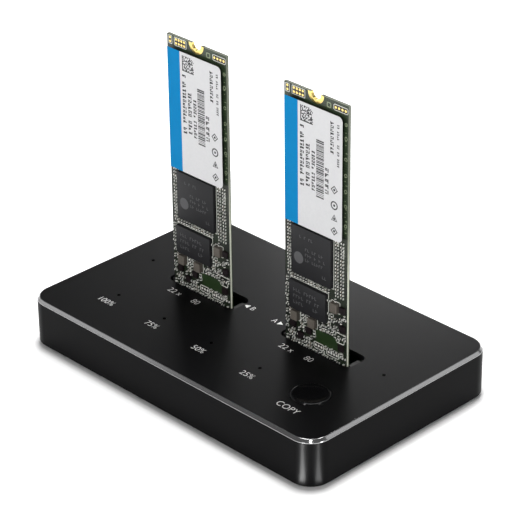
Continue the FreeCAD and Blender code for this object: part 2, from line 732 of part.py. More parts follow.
def make_power_switch():
    """A push switch behind the back wall; its button is level with the wall."""
    level = f"{BOARD_TOP} + jack_height / 2"
    flange_back = "wall + flange_gap + flange_thickness"
    body_front = f"{flange_back} + power_travel + button_gap"
    body = new_body("power_switch_body", POWER_X, BACK_FACE, level)
    outline = new_sketch(body, "outline", "XZ_Plane", body_front)
    rectangle(outline, "0", "0", "jack_height", "jack_height")
    pad(body, "block", outline, "power_body_depth")
    guide = new_sketch(body, "guide_circle", "XZ_Plane", body_front)
    circle(guide, "0", "0", "power_stem + 2 * plunger_gap")
    pocket(body, "guide", guide, "power_stem_depth + power_travel + plunger_gap")

    button = new_body("power_button", POWER_X, BACK_FACE, level)
    profile = new_sketch(button, "button_profile", "YZ_Plane")
    cap, flange, stem = "power_button_diameter / 2", "power_flange / 2", "power_stem / 2"
    stem_end = f"-({body_front} + power_stem_depth)"
    polygon(profile, [
        ("-power_button_inset", "0"), ("-power_button_inset", f"{cap} - power_button_bevel"),
        ("-power_button_inset - power_button_bevel", cap),
        ("-wall - flange_gap", cap), ("-wall - flange_gap", flange), (f"-({flange_back})", flange),
        (f"-({flange_back})", stem), (stem_end, stem), (stem_end, "0")])
    revolve(button, "turned_button", profile, "H_Axis")


# ---- Drive cards, each in its own frame ----

def card_body(name, bay):
    return new_body(name, f"{BAYS[bay]} + card_shift", "0", f"{SOCKET_TOP} - tongue_depth")


def make_card_board(bay):
    body = card_body(f"drive_{bay}_board", bay)
    outline = new_sketch(body, "outline", "XZ_Plane", "-card_thickness / 2")
    half, tongue = "card_width / 2", "tongue_width / 2"
    polygon(outline, [
        (f"-{tongue}", "0"), (tongue, "0"), (tongue, "tongue_depth"), (half, "tongue_depth"),
        (half, "card_length"), (f"-{half}", "card_length"), (f"-{half}", "tongue_depth"),
        (f"-{tongue}", "tongue_depth")])
    pad(body, "laminate", outline, "card_thickness")
    notch = new_sketch(body, "screw_notch", "XZ_Plane", "-card_thickness / 2")
    circle(notch, "0", "card_length", "2 * end_notch_radius")
    pocket(body, "screw_notch_cut", notch, "card_thickness")
    keys = new_sketch(body, "key_outlines", "XZ_Plane", "-card_thickness / 2")
    for key in ("left_key", "right_key"):
        rectangle(keys, key, "(key_depth / 2 - key_width / 2)", "key_width", "key_depth + key_width",
                  "(key_width / 2 - 0.01)")
    pocket(body, "key_notches", keys, "card_thickness")
    level = value(f"{SOCKET_TOP} - tongue_depth")
    dress(body, "Chamfer", "lead_edge", "tongue_bevel",
          lambda edge: edge.ZMax < level + 1e-4 and edge.YLength < 1e-4)


def make_card_contacts(bay):
    """Gold fingers on both faces of the tongue, in three groups between the key notches."""
    body = card_body(f"drive_{bay}_contacts", bay)
    for group, start, count in (("left", "left_key - 5.5 * pitch", 5),
                                ("middle", "left_key + 2.75 * pitch", 19),
                                ("right", "right_key + 2.25 * pitch", 6)):
        for face, offset in (("front", CARD_FRONT), ("rear", f"-({CARD_FRONT}) - copper")):
            sketch = new_sketch(body, f"{group}_{face}_finger", "XZ_Plane", offset)
            rectangle(sketch, f"({start})", "(finger_inset + finger_length / 2)", "finger_width",
                      "finger_length")
            finger = pad(body, f"{group}_{face}_pad", sketch, "copper")
            row_of(body, f"{group}_{face}_row", [finger], sketch, "H_Axis", "pitch", count)


def make_card_ring(bay):
    """The plated half ring round the screw notch, where a screw would hold the card down."""
    body = card_body(f"drive_{bay}_ring", bay)
    outline = new_sketch(body, "outline", "XZ_Plane", CARD_FRONT)
    circle(outline, "0", "card_length", "2 * end_ring_radius")
    circle(outline, "0", "card_length", "2 * end_notch_radius")
    pad(body, "plating", outline, "copper")
    beyond = new_sketch(body, "beyond_the_end", "XZ_Plane", CARD_FRONT)
    rectangle(beyond, "0", "card_length + end_ring_radius", "4 * end_ring_radius", "2 * end_ring_radius")
    pocket(body, "trimmed_at_the_end", beyond, "copper")


def make_card_chips(bay):
    flash = card_body(f"drive_{bay}_flash", bay)
    outline = new_sketch(flash, "outline", "XZ_Plane", CARD_FRONT)
    for side in ("-", "+"):
        rectangle(outline, "0", f"({LABEL_Z} {side} flash_spacing / 2)", "flash_width", "flash_length")
    pad(flash, "packages", outline, "chip_height")

    label = card_body(f"drive_{bay}_label", bay)
    outline = new_sketch(label, "outline", "XZ_Plane", f"{CARD_FRONT} + chip_height")
    rectangle(outline, "0", LABEL_Z, "label_width", "label_length", "label_corner")
    pad(label, "paper", outline, "label_thickness")

    for chip, level in (("controller", CONTROLLER_Z), ("memory", MEMORY_Z)):
        body = card_body(f"drive_{bay}_{chip}", bay)
        outline = new_sketch(body, "outline", "XZ_Plane", CARD_FRONT)
        rectangle(outline, f"{chip}_x", level, f"{chip}_width", f"{chip}_length")
        pad(body, "package", outline, "chip_height")


def make_card_small_parts(bay):
    """Inductors, power chips and ceramic capacitors, set out from the big packages' edges."""
    coils = card_body(f"drive_{bay}_inductors", bay)
    outline = new_sketch(coils, "outline", "XZ_Plane", CARD_FRONT)
    memory_foot = f"{MEMORY_Z} - memory_length / 2"
    memory_side = "memory_x + memory_width / 2"
    coil_row = f"({memory_foot} - inductor_length / 2 - part_gap)"
    beside = f"({MEMORY_Z} + inductor_length / 2)"
    left_coil = "(memory_x - memory_width / 2 + inductor_width / 2 + part_gap)"
    middle_coil = "(memory_x + inductor_width / 2)"
    right_coil = f"({memory_side} + inductor_width)"
    places = ((left_coil, coil_row), (middle_coil, coil_row), (right_coil, beside))
    for x, z in places:
        rectangle(outline, x, z, "inductor_width", "inductor_length")
    pad(coils, "coils", outline, "inductor_height")

    chips = card_body(f"drive_{bay}_power_chips", bay)
    outline = new_sketch(chips, "outline", "XZ_Plane", CARD_FRONT)
    below = f"({coil_row} - inductor_length / 2 - power_chip_side / 2 - part_gap)"
    beyond = f"({right_coil} + inductor_width / 2 + power_chip_side / 2 + part_gap)"
    corner_chip = "(memory_x - memory_width / 2 + power_chip_side / 2)"
    spots = ((corner_chip, below), ("memory_x", below),
             (f"(({corner_chip} + memory_x) / 2)", f"({below} - power_chip_side - 2 * part_gap)"),
             (beyond, beside), (beyond, f"({beside} - 3 * power_chip_side)"))
    for x, z in spots:
        rectangle(outline, x, z, "power_chip_side", "power_chip_side")
    pad(chips, "packages", outline, "power_chip_height")

    capacitors = card_body(f"drive_{bay}_capacitors", bay)
    foot = f"({CONTROLLER_Z} - controller_length / 2 + capacitor_length)"
    left = "controller_x - controller_width / 2"
    right = "controller_x + controller_width / 2"
    columns = {"left": f"({left} - 3 * capacitor_width)", "inner": f"({right} + 3 * capacitor_width)",
               "outer": f"({right} + 7 * capacitor_width)"}
    for column, x in columns.items():
        sketch = new_sketch(capacitors, f"{column}_outline", "XZ_Plane", CARD_FRONT)
        rectangle(sketch, x, foot, "capacitor_width", "capacitor_length")
        first = pad(capacitors, f"{column}_first", sketch, "capacitor_width")
        row_of(capacitors, f"{column}_column", [first], sketch, "V_Axis", "capacitor_spacing", 10)
    gap_row = f"({CONTROLLER_Z} - controller_length / 2 - memory_share * {SPARE} / 2)"
    sketch = new_sketch(capacitors, "gap_outline", "XZ_Plane", CARD_FRONT)
    rectangle(sketch, f"({left} + capacitor_length)", gap_row, "capacitor_width", "capacitor_length")
    first = pad(capacitors, "gap_first", sketch, "capacitor_width")
    row_of(capacitors, "gap_row", [first], sketch, "H_Axis", "capacitor_spacing", 10)


# ---- Assembly, checks and export ----

make_top_shell()
make_base_plate()
make_base_screws()
make_feet()
make_main_board()
make_board_parts()
make_lights()
make_copy_button()
make_copy_switch()
make_usb_port()
make_power_jack()
make_power_switch()
for bay, centre in BAYS.items():
    make_socket(bay, centre)
    make_socket_contacts(bay, centre)
    make_card_board(bay)
    make_card_contacts(bay)
    make_card_ring(bay)
    make_card_chips(bay)
    make_card_small_parts(bay)

doc.recompute()
for item in doc.Objects:
    if {"Invalid", "Error"} & set(item.State):
        raise RuntimeError(f"{item.Label} did not build: {item.State}")
for part in sub_parts:
    if part.Shape.isNull() or not part.Shape.isValid():
        raise RuntimeError(f"{part.Label} has no valid shape")

os.makedirs("parts", exist_ok=True)
for part in sub_parts:
    part.Shape.exportStep(f"parts/{part.Label}.step")
    print(f"{part.Label}: {len(part.Shape.Solids)} solids, {part.Shape.Volume:.1f} mm3")
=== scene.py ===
import math
import random

import bmesh
import bpy
from mathutils import Matrix, Vector


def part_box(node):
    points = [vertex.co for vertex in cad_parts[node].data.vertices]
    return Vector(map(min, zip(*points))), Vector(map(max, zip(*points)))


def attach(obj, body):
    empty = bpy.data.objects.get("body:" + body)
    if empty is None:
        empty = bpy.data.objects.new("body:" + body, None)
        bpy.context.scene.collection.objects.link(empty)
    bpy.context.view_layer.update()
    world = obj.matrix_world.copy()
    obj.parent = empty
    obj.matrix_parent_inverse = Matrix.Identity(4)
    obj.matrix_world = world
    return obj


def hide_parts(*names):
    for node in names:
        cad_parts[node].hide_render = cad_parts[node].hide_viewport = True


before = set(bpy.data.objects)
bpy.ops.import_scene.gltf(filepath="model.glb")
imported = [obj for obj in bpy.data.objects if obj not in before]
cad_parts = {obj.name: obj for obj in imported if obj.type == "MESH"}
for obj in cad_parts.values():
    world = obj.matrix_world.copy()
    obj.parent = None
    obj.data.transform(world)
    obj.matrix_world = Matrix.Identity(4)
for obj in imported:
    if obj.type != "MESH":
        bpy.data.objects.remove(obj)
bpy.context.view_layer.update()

# A two-bay drive duplicator in metres, +Z up, its front at -Y and its COPY button at the front right.
# Lengths below are written in millimetres and turned to metres by MM.
MM = 0.001
# Case shell: the radius of its upright corners, its side wall, the skin over its top, the bright cut
# round its top edge with the slight rounding of that cut's two edges, and the break at its lower rim
CASE_CORNER = 6.2 * MM
CASE_WALL = 1.8 * MM
CASE_SKIN = 1.5 * MM
EDGE_CUT = 0.75 * MM
CUT_ROUNDING = 0.1 * MM
RIM_BREAK = 0.3 * MM
# Openings in the case: a slot's reach from the card in it, then the radii of the round holes
SLOT_LEFT, SLOT_RIGHT, SLOT_FRONT, SLOT_BACK = 13.3 * MM, 12.1 * MM, 1.1 * MM, 6.3 * MM
SLOT_CORNER = 2.0 * MM
LIGHT_HOLE = 0.55 * MM
BUTTON_HOLE = 5.4 * MM
JACK_HOLE = 3.8 * MM
POWER_HOLE = 3.0 * MM
USB_HALF_WIDTH, USB_HALF_HEIGHT, USB_CORNER = 4.82 * MM, 1.93 * MM, 1.85 * MM
# Half the width of a square light guide, which carries a light's round tip in its middle
GUIDE_HALF = 1.0 * MM
# COPY button: its cap, with a rounded rim, and the stem under it
CAP_RADIUS, CAP_DEPTH, CAP_RIM, STEM_RADIUS = 5.2 * MM, 2.3 * MM, 0.4 * MM, 1.8 * MM
# Rubber feet: the rounding of the edge that stands on the table
FOOT_ROUNDING = 0.25 * MM
# Print: how far its film stands out, and how much thinner and narrower its letters are than the font's
INK, LETTER_THINNING, LETTER_WIDTH = 0.02 * MM, 0.04 * MM, 0.94
# Card: its contact tongue and the two key notches in it, the half-round screw notch with its plated
# ring, and the rounding of its packages' edges
TONGUE_HALF, TONGUE_DEPTH = 9.925 * MM, 4.0 * MM
RIGHT_KEY, LEFT_KEY, KEY_HALF, KEY_DEPTH = 5.625 * MM, -6.125 * MM, 0.6 * MM, 3.5 * MM
SCREW_NOTCH, RING_RADIUS, RING_BORE, RING_LAP = 1.75 * MM, 2.75 * MM, 1.7 * MM, 0.05 * MM
PACKAGE_ROUNDING = 0.08 * MM

bpy.context.scene.view_settings.view_transform = "Standard"


# ---- Materials ----

def linear(hex_colour):
    """An sRGB hex colour as the linear colour that a shader takes."""
    channels = [int(hex_colour[place:place + 2], 16) / 255 for place in (1, 3, 5)]
    return [c / 12.92 if c <= 0.04045 else ((c + 0.055) / 1.055) ** 2.4 for c in channels] + [1.0]


def add(material, kind, inputs={}, **properties):
    """Adds a shader node; an input takes a number, a colour or another node's output."""
    tree = material.node_tree
    made = tree.nodes.new("ShaderNode" + kind)
    for name, setting in properties.items():
        setattr(made, name, setting)
    for name, given in inputs.items():
        if isinstance(given, bpy.types.NodeSocket):
            tree.links.new(given, made.inputs[name])
        else:
            made.inputs[name].default_value = given
    return made


def new_material(name):
    material = bpy.data.materials.new(name)
    material.use_nodes = True
    material.node_tree.nodes.clear()
    return material


def surface(material, sockets, height=None, relief=0.0):
    """The Principled shader and the output; height gives a bump as deep as relief."""
    if relief:
        bump = add(material, "Bump", {"Height": height, "Distance": relief})
        sockets = {**sockets, "Normal": bump.outputs["Normal"]}
    shader = add(material, "BsdfPrincipled", sockets)
    add(material, "OutputMaterial", {"Surface": shader.outputs["BSDF"]})
    return material


def grained(name, light, dark, grain, roughness, relief=0.0, spread=0.08, shine=0.5, metallic=0.0):
    """A finish whose colour goes from light to dark, and whose roughness varies by spread either way, over a
    grain in mm, with a bump that is relief deep, in mm."""
    material = new_material(name)
    place = add(material, "TexCoord").outputs["Object"]
    noise = add(material, "TexNoise", {"Vector": place, "Scale": 1 / (grain * MM), "Detail": 4.0}).outputs["Fac"]
    colour = add(material, "MixRGB", {"Fac": noise, "Color1": linear(dark), "Color2": linear(light)})
    rough = add(material, "MapRange", {"Value": noise, "To Min": roughness - spread, "To Max": roughness + spread})
    return surface(material, {"Base Color": colour.outputs["Color"], "Roughness": rough.outputs["Result"],
                              "Specular IOR Level": shine, "Metallic": metallic}, noise, relief * MM)


# Black anodised aluminium, blasted before dyeing: a deep grey-black with a soft broad sheen.
# The grit's pits are 0.05 mm and drawn at 0.25 mm so that they show.
anodised = grained("anodised_aluminium_blasted", "#101011", "#0b0b0c", 0.25, 0.3, 0.002, 0.04, shine=0.06)
# Edges cut again with a diamond after anodising: bare bright metal, a crisp band of clear reflection.
bright_cut = grained("aluminium_diamond_cut", "#c9c9c9", "#b4b4b6", 0.3, 0.14, 0.0, 0.03, metallic=1.0)
# Rolled plate under the same dye: a little greyer and more matt than the case above it.
base_finish = grained("anodised_aluminium_plate", "#1f1f20", "#18181a", 0.4, 0.5, 0.003)
# Zinc-plated steel: pale and slightly clouded, with a blurred shine.
screw_steel = grained("zinc_plated_steel", "#b9bab8", "#9fa09e", 0.5, 0.32, 0.002, metallic=1.0)
# Moulded rubber: matt black that gives back almost no light.
foot_rubber = grained("moulded_rubber", "#1d1d1d", "#141414", 0.3, 0.85, 0.01)
# ABS from a polished mould: near black, with small hard highlights round the rim and in the dish.
button_gloss = grained("polished_abs_black", "#060607", "#040405", 1.5, 0.13, 0.0, 0.02, shine=0.3)
# ABS from a fine-eroded mould: black with a satin haze.
power_black = grained("satin_abs_black", "#161617", "#101011", 0.2, 0.4, 0.002)
# Pad-printed epoxy ink: a flat off-white film, thinner and greyer in spots.
case_ink = grained("pad_printing_ink", "#f2f2f0", "#dededc", 0.15, 0.55, 0.0)
# Smoked polycarbonate: the unlit end of a light guide, a dark glassy dot, here made black and without shine as the
# painted shade of the hole it sits in.
guide_tip_hole_shade = grained("smoked_polycarbonate_hole_shade", "#030303", "#020202", 0.6, 0.6, 0.0, 0.05, shine=0.0)
# Glass epoxy under green varnish, seen only through the openings: dull deep green.
board_green = grained("glass_epoxy_board", "#2b4a2c", "#1f3a22", 0.8, 0.4, 0.004)
# Moulded epoxy package of the dock's chips: charcoal, with the mould's fine eroded grain.
chip_epoxy = grained("moulded_epoxy_package", "#353539", "#29292c", 0.12, 0.5, 0.003)
# Drawn aluminium: pale metal with a soft shine.
can_metal = grained("drawn_aluminium_can", "#c6c6c4", "#aeaeac", 0.4, 0.35, 0.002, metallic=1.0)
# Sintered ferrite: dark warm grey, matt and a little gritty.
ferrite = grained("sintered_ferrite", "#3c3b3a", "#2c2b2a", 0.2, 0.6, 0.004)
# Clear casting epoxy over a die: creamy and glossy.
led_body = grained("clear_led_epoxy", "#d8d6c6", "#c6c4b4", 0.3, 0.25, 0.0)
# Moulded nylon of switches and sockets at the back: black and half matt.
switch_plastic = grained("moulded_nylon_black", "#1b1b1b", "#121212", 0.25, 0.5, 0.003)
# Nickel on stamped steel: a grey mirror with slight drawing marks.
port_steel = grained("nickel_plated_steel", "#a8a8a6", "#8f8f8d", 0.5, 0.28, 0.001, metallic=1.0)
# Glass-filled liquid crystal polymer: dark grey, dull, streaked by its flow.
socket_plastic = grained("liquid_crystal_polymer", "#3c3c3b", "#2b2b2a", 0.25, 0.6, 0.003, shine=0.15)
# Immersion gold on copper: pale warm yellow metal.
gold = grained("gold_plating", "#f4de94", "#e0c468", 0.35, 0.26, 0.001, metallic=1.0)
# Black mould compound of the card's packages: soft dark grey, nearly without shine.
package_black = grained("black_mould_compound", "#29292b", "#1b1b1d", 0.1, 0.5, 0.003, shine=0.2)
# The same compound burnt by a laser: faint paler grey strokes.
laser_grey = grained("laser_marked_epoxy", "#58585a", "#424244", 0.15, 0.6)
# Pressed iron powder of the coils: warm grey-brown, matt and grainy.
inductor_brown = grained("pressed_iron_powder", "#6e675e", "#443f39", 0.3, 0.6, 0.006)
# Fired barium titanate of the capacitors, one batch browner and one greyer: smooth and waxy.
ceramic_tan = grained("barium_titanate_tan", "#6a5f4c", "#4c4437", 0.2, 0.45)
ceramic_grey = grained("barium_titanate_grey", "#454441", "#2e2d2b", 0.2, 0.45)
# Glazed film of the resistors: black and slightly shiny.
resistor_black = grained("resistor_glaze_black", "#0f0f11", "#09090a", 0.2, 0.45, shine=0.2)
# Power packages in a browner compound: near black with a hint of maroon.
maroon_package = grained("power_package_maroon", "#1f1719", "#130e10", 0.15, 0.45, 0.002, shine=0.2)
# Tin on the parts' end caps: the small bright ends, near-white and mostly matt, tin's pale colour brightened into a
# painted glint that makes the board glitter.
tin_painted_glint = grained("tinned_end_cap_painted_glint", "#f4f4ee", "#dcdcd6", 0.2, 0.45, metallic=0.2)
# Printed legend ink: flat white, and greenish where the film is thin over the varnish.
silkscreen = grained("silkscreen_ink_white", "#f4f5ee", "#e2e4da", 0.15, 0.6)
faint_silkscreen = grained("silkscreen_ink_thin", "#9ba688", "#7e8a6c", 0.15, 0.6)
# Varnish with no copper under it: the brown-black ground between the gold pads.
bare_mask = grained("solder_mask_over_bare_laminate", "#2e241b", "#1f1812", 0.3, 0.4)
# The same varnish, painted nearly black as the shade where the parts crowd and hardly any light gets down.
painted_shade_mask = grained("solder_mask_painted_shade", "#14110d", "#0b0906", 0.3, 0.45)
# Varnish over an open stretch of copper: the one clear green patch.
copper_pour = grained("solder_mask_over_copper", "#253d19", "#12210b", 0.9, 0.4, 0.004)
# Resin ribbon ink on the label: charcoal, a little broken at its edges.
label_ink = grained("thermal_transfer_ink", "#242427", "#19191c", 0.15, 0.5)
# Coated paper label: nearly flat white with a faint fibre, and the same paper flooded with blue ink.
label_white = grained("coated_label_paper", "#e2e2e3", "#d8d8da", 0.6, 0.5, 0.002)
label_blue = grained("label_paper_blue_ink", "#068ccb", "#0482c0", 0.8, 0.6, 0.0, shine=0.1)


def make_solder_mask():
    """Green varnish over copper: patches of parallel traces, upright in some and level in others, show paler.

    Real traces are 0.1 mm wide and are drawn at 0.3 mm so that they show. On the front below the label, where
    the parts crowd, the ground is painted darker as their shade."""
    patch_size, half_pitch, shade_top = 3.2 * MM, 0.35 * MM, 52 * MM
    material = new_material("solder_mask_green")
    place = add(material, "TexCoord").outputs["Object"]
    patch = add(material, "TexVoronoi", {"Vector": place, "Scale": 1 / patch_size}, distance="CHEBYCHEV")
    draw = add(material, "SeparateColor", {"Color": patch.outputs["Color"]})
    axes = add(material, "SeparateXYZ", {"Vector": place})
    upright = add(material, "Math", {0: axes.outputs["X"], 1: half_pitch}, operation="PINGPONG").outputs["Value"]
    level = add(material, "Math", {0: axes.outputs["Z"], 1: half_pitch}, operation="PINGPONG").outputs["Value"]
    turned = add(material, "Math", {0: draw.outputs["Red"], 1: 0.4}, operation="GREATER_THAN").outputs["Value"]
    bare = add(material, "Math", {0: draw.outputs["Green"], 1: 0.65}, operation="LESS_THAN").outputs["Value"]
    lines = add(material, "Mix", {"Factor": turned, "A": upright, "B": level}).outputs["Result"]
    raised = add(material, "MapRange", {"Value": lines, "From Min": 0.17 * MM,
                                        "From Max": 0.22 * MM}).outputs["Result"]
    trace = add(material, "Math", {0: raised, 1: bare}, operation="MULTIPLY").outputs["Value"]
    open_ground = add(material, "MixRGB", {"Fac": trace, "Color1": linear("#1f2b19"), "Color2": linear("#2c3e24")})
    # Painted shade: a darker ground for the front below the label, where the parts crowd
    shaded_ground = add(material, "MixRGB", {"Fac": trace, "Color1": linear("#0c120a"), "Color2": linear("#1c2a14")})
    low_end = add(material, "MapRange", {"Value": axes.outputs["Z"], "From Min": shade_top,
                                         "From Max": shade_top - MM})
    front = add(material, "Math", {0: axes.outputs["Y"], 1: 0.0}, operation="LESS_THAN")
    shade_mask = add(material, "Math", {0: low_end.outputs["Result"], 1: front.outputs["Value"]}, operation="MULTIPLY")
    colour = add(material, "MixRGB", {"Fac": shade_mask.outputs["Value"], "Color1": open_ground.outputs["Color"],
                                      "Color2": shaded_ground.outputs["Color"]})
    return surface(material, {"Base Color": colour.outputs["Color"], "Roughness": 0.38}, trace, 0.01 * MM)


def make_laminate_edge():
    """Sawn glass-epoxy: pale in a thin layer at the front and lower down, and deep green behind that layer and higher
    up.
    """
    material = new_material("glass_epoxy_sawn_edge")
    place = add(material, "TexCoord").outputs["Object"]
    axes = add(material, "SeparateXYZ", {"Vector": place})
    rise = add(material, "MapRange", {"Value": axes.outputs["Z"], "From Min": 40 * MM, "From Max": 56 * MM,
                                      "To Max": 0.75}).outputs["Result"]
    rear = add(material, "MapRange", {"Value": axes.outputs["Y"], "From Min": 0.12 * MM,
                                      "From Max": 0.22 * MM}).outputs["Result"]
    depth = add(material, "Math", {0: rise, 1: rear}, operation="MAXIMUM").outputs["Value"]
    fibre = add(material, "TexNoise", {"Vector": place, "Scale": 1 / (0.5 * MM), "Detail": 3.0}).outputs["Fac"]
    pale = add(material, "MixRGB", {"Fac": fibre, "Color1": linear("#c6cbb3"), "Color2": linear("#eceee0")})
    deep = add(material, "MixRGB", {"Fac": fibre, "Color1": linear("#26301a"), "Color2": linear("#37452a")})
    colour = add(material, "MixRGB", {"Fac": depth, "Color1": pale.outputs["Color"], "Color2": deep.outputs["Color"]})
    return surface(material, {"Base Color": colour.outputs["Color"], "Roughness": 0.6}, fibre, 0.01 * MM)


solder_mask = make_solder_mask()
laminate_edge = make_laminate_edge()


# ---- Modelling by hand: a primitive, faces or edges chosen by place, then edit-mode tools ----

def clear_choice():
    if bpy.context.mode != "OBJECT":
        bpy.ops.object.mode_set(mode="OBJECT")
    bpy.ops.object.select_all(action="DESELECT")


def hold(piece):
    """Makes one piece the only one selected, and active."""
    clear_choice()
    piece.select_set(True)
    bpy.context.view_layer.objects.active = piece


def settle(name):
    """Names the new primitive and puts its place into its mesh."""
    piece = bpy.context.object
    piece.name = piece.data.name = name
    bpy.ops.object.transform_apply(location=True, rotation=True, scale=True)
    return piece


def block(name, low, high):
    clear_choice()
    low, high = Vector(low), Vector(high)
    bpy.ops.mesh.primitive_cube_add(size=1, location=(low + high) / 2, scale=high - low)
    return settle(name)


def disc(name, centre, radius, depth, sides=64, facing="Z"):
    """A solid disc, centred on centre, its axis along Z or Y."""
    clear_choice()
    turn = (math.pi / 2, 0, 0) if facing == "Y" else (0, 0, 0)
    bpy.ops.mesh.primitive_cylinder_add(vertices=sides, radius=radius, depth=depth, location=centre, rotation=turn)
    return settle(name)


def choose(piece, kind, test):
    """Edit mode with only those faces or edges selected that pass the test."""
    hold(piece)
    bpy.ops.object.mode_set(mode="EDIT")
    bpy.ops.mesh.select_mode(type=kind)
    bpy.ops.mesh.select_all(action="DESELECT")
    shape = bmesh.from_edit_mesh(piece.data)
    shape.normal_update()
    for element in shape.faces if kind == "FACE" else shape.edges:
        element.select_set(bool(test(element)))
    bmesh.update_edit_mesh(piece.data)


def along(edge, axis):
    """True for an edge that runs along the axis: 0, 1 or 2 for X, Y or Z."""
    run = edge.verts[1].co - edge.verts[0].co
    return abs(run[axis]) > 0.99 * run.length


def middle(edge):
    return (edge.verts[0].co + edge.verts[1].co) / 2


def at_level(edge, axis, level):
    """True for an edge that lies whole in the plane at level across the axis."""
    return all(abs(vertex.co[axis] - level) < 0.002 * MM for vertex in edge.verts)


def round_edges(piece, test, size, steps=1, material=-1):
    """Bevels the edges that pass the test; the new faces take the material's slot where one is given."""
    choose(piece, "EDGE", test)
    bpy.ops.mesh.bevel(offset=size, segments=steps, affect="EDGES", material=material)
    bpy.ops.object.mode_set(mode="OBJECT")


def cut(piece, cutters):
    """Takes the cutters' forms out of the piece."""
    join("cutter", cutters)
    cutter = bpy.context.object
    hold(piece)
    modifier = piece.modifiers.new("cut", "BOOLEAN")
    modifier.object = cutter
    modifier.solver = "EXACT"
    modifier.use_self = True
    bpy.ops.object.modifier_apply(modifier="cut")
    bpy.data.objects.remove(cutter)


def join(name, pieces):
    """Makes one piece of several, in the place of the first."""
    clear_choice()
    for piece in pieces:
        piece.select_set(True)
    bpy.context.view_layer.objects.active = pieces[0]
    if len(pieces) > 1:
        bpy.ops.object.join()
    pieces[0].name = pieces[0].data.name = name
    return pieces[0]


def copy_of(piece, name, matrix):
    """A copy with its own mesh, moved by the matrix."""
    twin = piece.copy()
    twin.data = piece.data.copy()
    twin.name = twin.data.name = name
    twin.data.transform(matrix)
    bpy.context.scene.collection.objects.link(twin)
    return twin


def set_out(piece, name, matrices):
    """One piece out of many copies of a modelled one, which goes."""
    copies = [copy_of(piece, name, matrix) for matrix in matrices]
    bpy.data.objects.remove(piece)
    return join(name, copies)


def finish(piece, materials, test=None):
    """Puts materials on; with two, the faces that pass the test take the second."""
    piece.data.materials.clear()
    for material in materials:
        piece.data.materials.append(material)
    for face in piece.data.polygons:
        face.material_index = int(bool(test and test(face)))


def smooth(piece, angle=30):
    hold(piece)
    bpy.ops.object.shade_smooth_by_angle(angle=math.radians(angle))


def mount(piece, body, slot, *nodes):
    """Gives a piece its body, and hides the solids that it stands for. The slot is not used."""
    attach(piece, body)
    if nodes:
        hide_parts(*nodes)


# ---- Case ----

def centre_of(node):
    low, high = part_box(node)
    return (low + high) / 2


def slot_cutter(board):
    """The opening over one socket, with rounded corners."""
    card = centre_of(board)
    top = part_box("top_shell")[1].z
    cutter = block("slot_cutter", (card.x - SLOT_LEFT, -SLOT_FRONT, top - 3 * MM),
                   (card.x + SLOT_RIGHT, SLOT_BACK, top + 1 * MM))
    round_edges(cutter, lambda edge: along(edge, 2), SLOT_CORNER, 10)
    return cutter


def light_places(guides, count, top):
    """The middles of a row of lights on the case's top, from the box round their guides."""
    low, high = guides
    start, end = low.x + GUIDE_HALF, high.x - GUIDE_HALF
    return [Vector((start + (end - start) * step / (count - 1), (low.y + high.y) / 2, top)) for step in range(count)]


def case_cutters(high):
    """What is taken out of the shell: slots, light holes and button hole in its top, ports in its back."""
    cutters = [slot_cutter("drive_a_board"), slot_cutter("drive_b_board")]
    lights = light_places(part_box("progress_light_pipes"), 4, high.z)
    lights += light_places(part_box("drive_light_pipes"), 2, high.z)
    cutters += [disc("light_cutter", place, LIGHT_HOLE, 3 * CASE_SKIN, 32) for place in lights]
    key = centre_of("copy_button")
    cutters.append(disc("button_cutter", (key.x, key.y, high.z), BUTTON_HOLE, 3 * CASE_SKIN, 96))
    for node, radius in (("power_jack_pin", JACK_HOLE), ("power_button", POWER_HOLE)):
        port = centre_of(node)
        cutters.append(disc("port_cutter", (port.x, high.y, port.z), radius, 3 * CASE_WALL, 64, "Y"))
    port = centre_of("usb_port_shell")
    usb = block("usb_cutter", (port.x - USB_HALF_WIDTH, high.y - 3 * CASE_WALL, port.z - USB_HALF_HEIGHT),
                (port.x + USB_HALF_WIDTH, high.y + CASE_WALL, port.z + USB_HALF_HEIGHT))
    round_edges(usb, lambda edge: along(edge, 1), USB_CORNER, 10)
    return cutters + [usb]


def make_case_shell():
    """The case: a block rounded at its corners, hollowed from below, cut bright round its top, then opened."""
    low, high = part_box("top_shell")
    shell = block("case_shell", low, high)
    finish(shell, [anodised, bright_cut])
    round_edges(shell, lambda edge: along(edge, 2), CASE_CORNER, 16)
    choose(shell, "FACE", lambda face: face.normal.z < -0.9)
    bpy.ops.mesh.inset(thickness=CASE_WALL)
    bpy.ops.mesh.extrude_region_move(TRANSFORM_OT_translate={"value": (0, 0, high.z - low.z - CASE_SKIN)})
    round_edges(shell, lambda edge: at_level(edge, 2, high.z), EDGE_CUT, 1, 1)
    for level in (high.z, high.z - EDGE_CUT):
        round_edges(shell, lambda edge: at_level(edge, 2, level), CUT_ROUNDING, 2, 1)
    outer = CASE_WALL / 2
    round_edges(shell, lambda edge: at_level(edge, 2, low.z) and (
        max(abs(middle(edge).x) - high.x, abs(middle(edge).y) - high.y) > -outer
        or (high.x - abs(middle(edge).x)) + (high.y - abs(middle(edge).y)) < CASE_CORNER), RIM_BREAK)
    cut(shell, case_cutters(high))
    smooth(shell, 10)
    mount(shell, "dock", "anodised_shell", "top_shell")


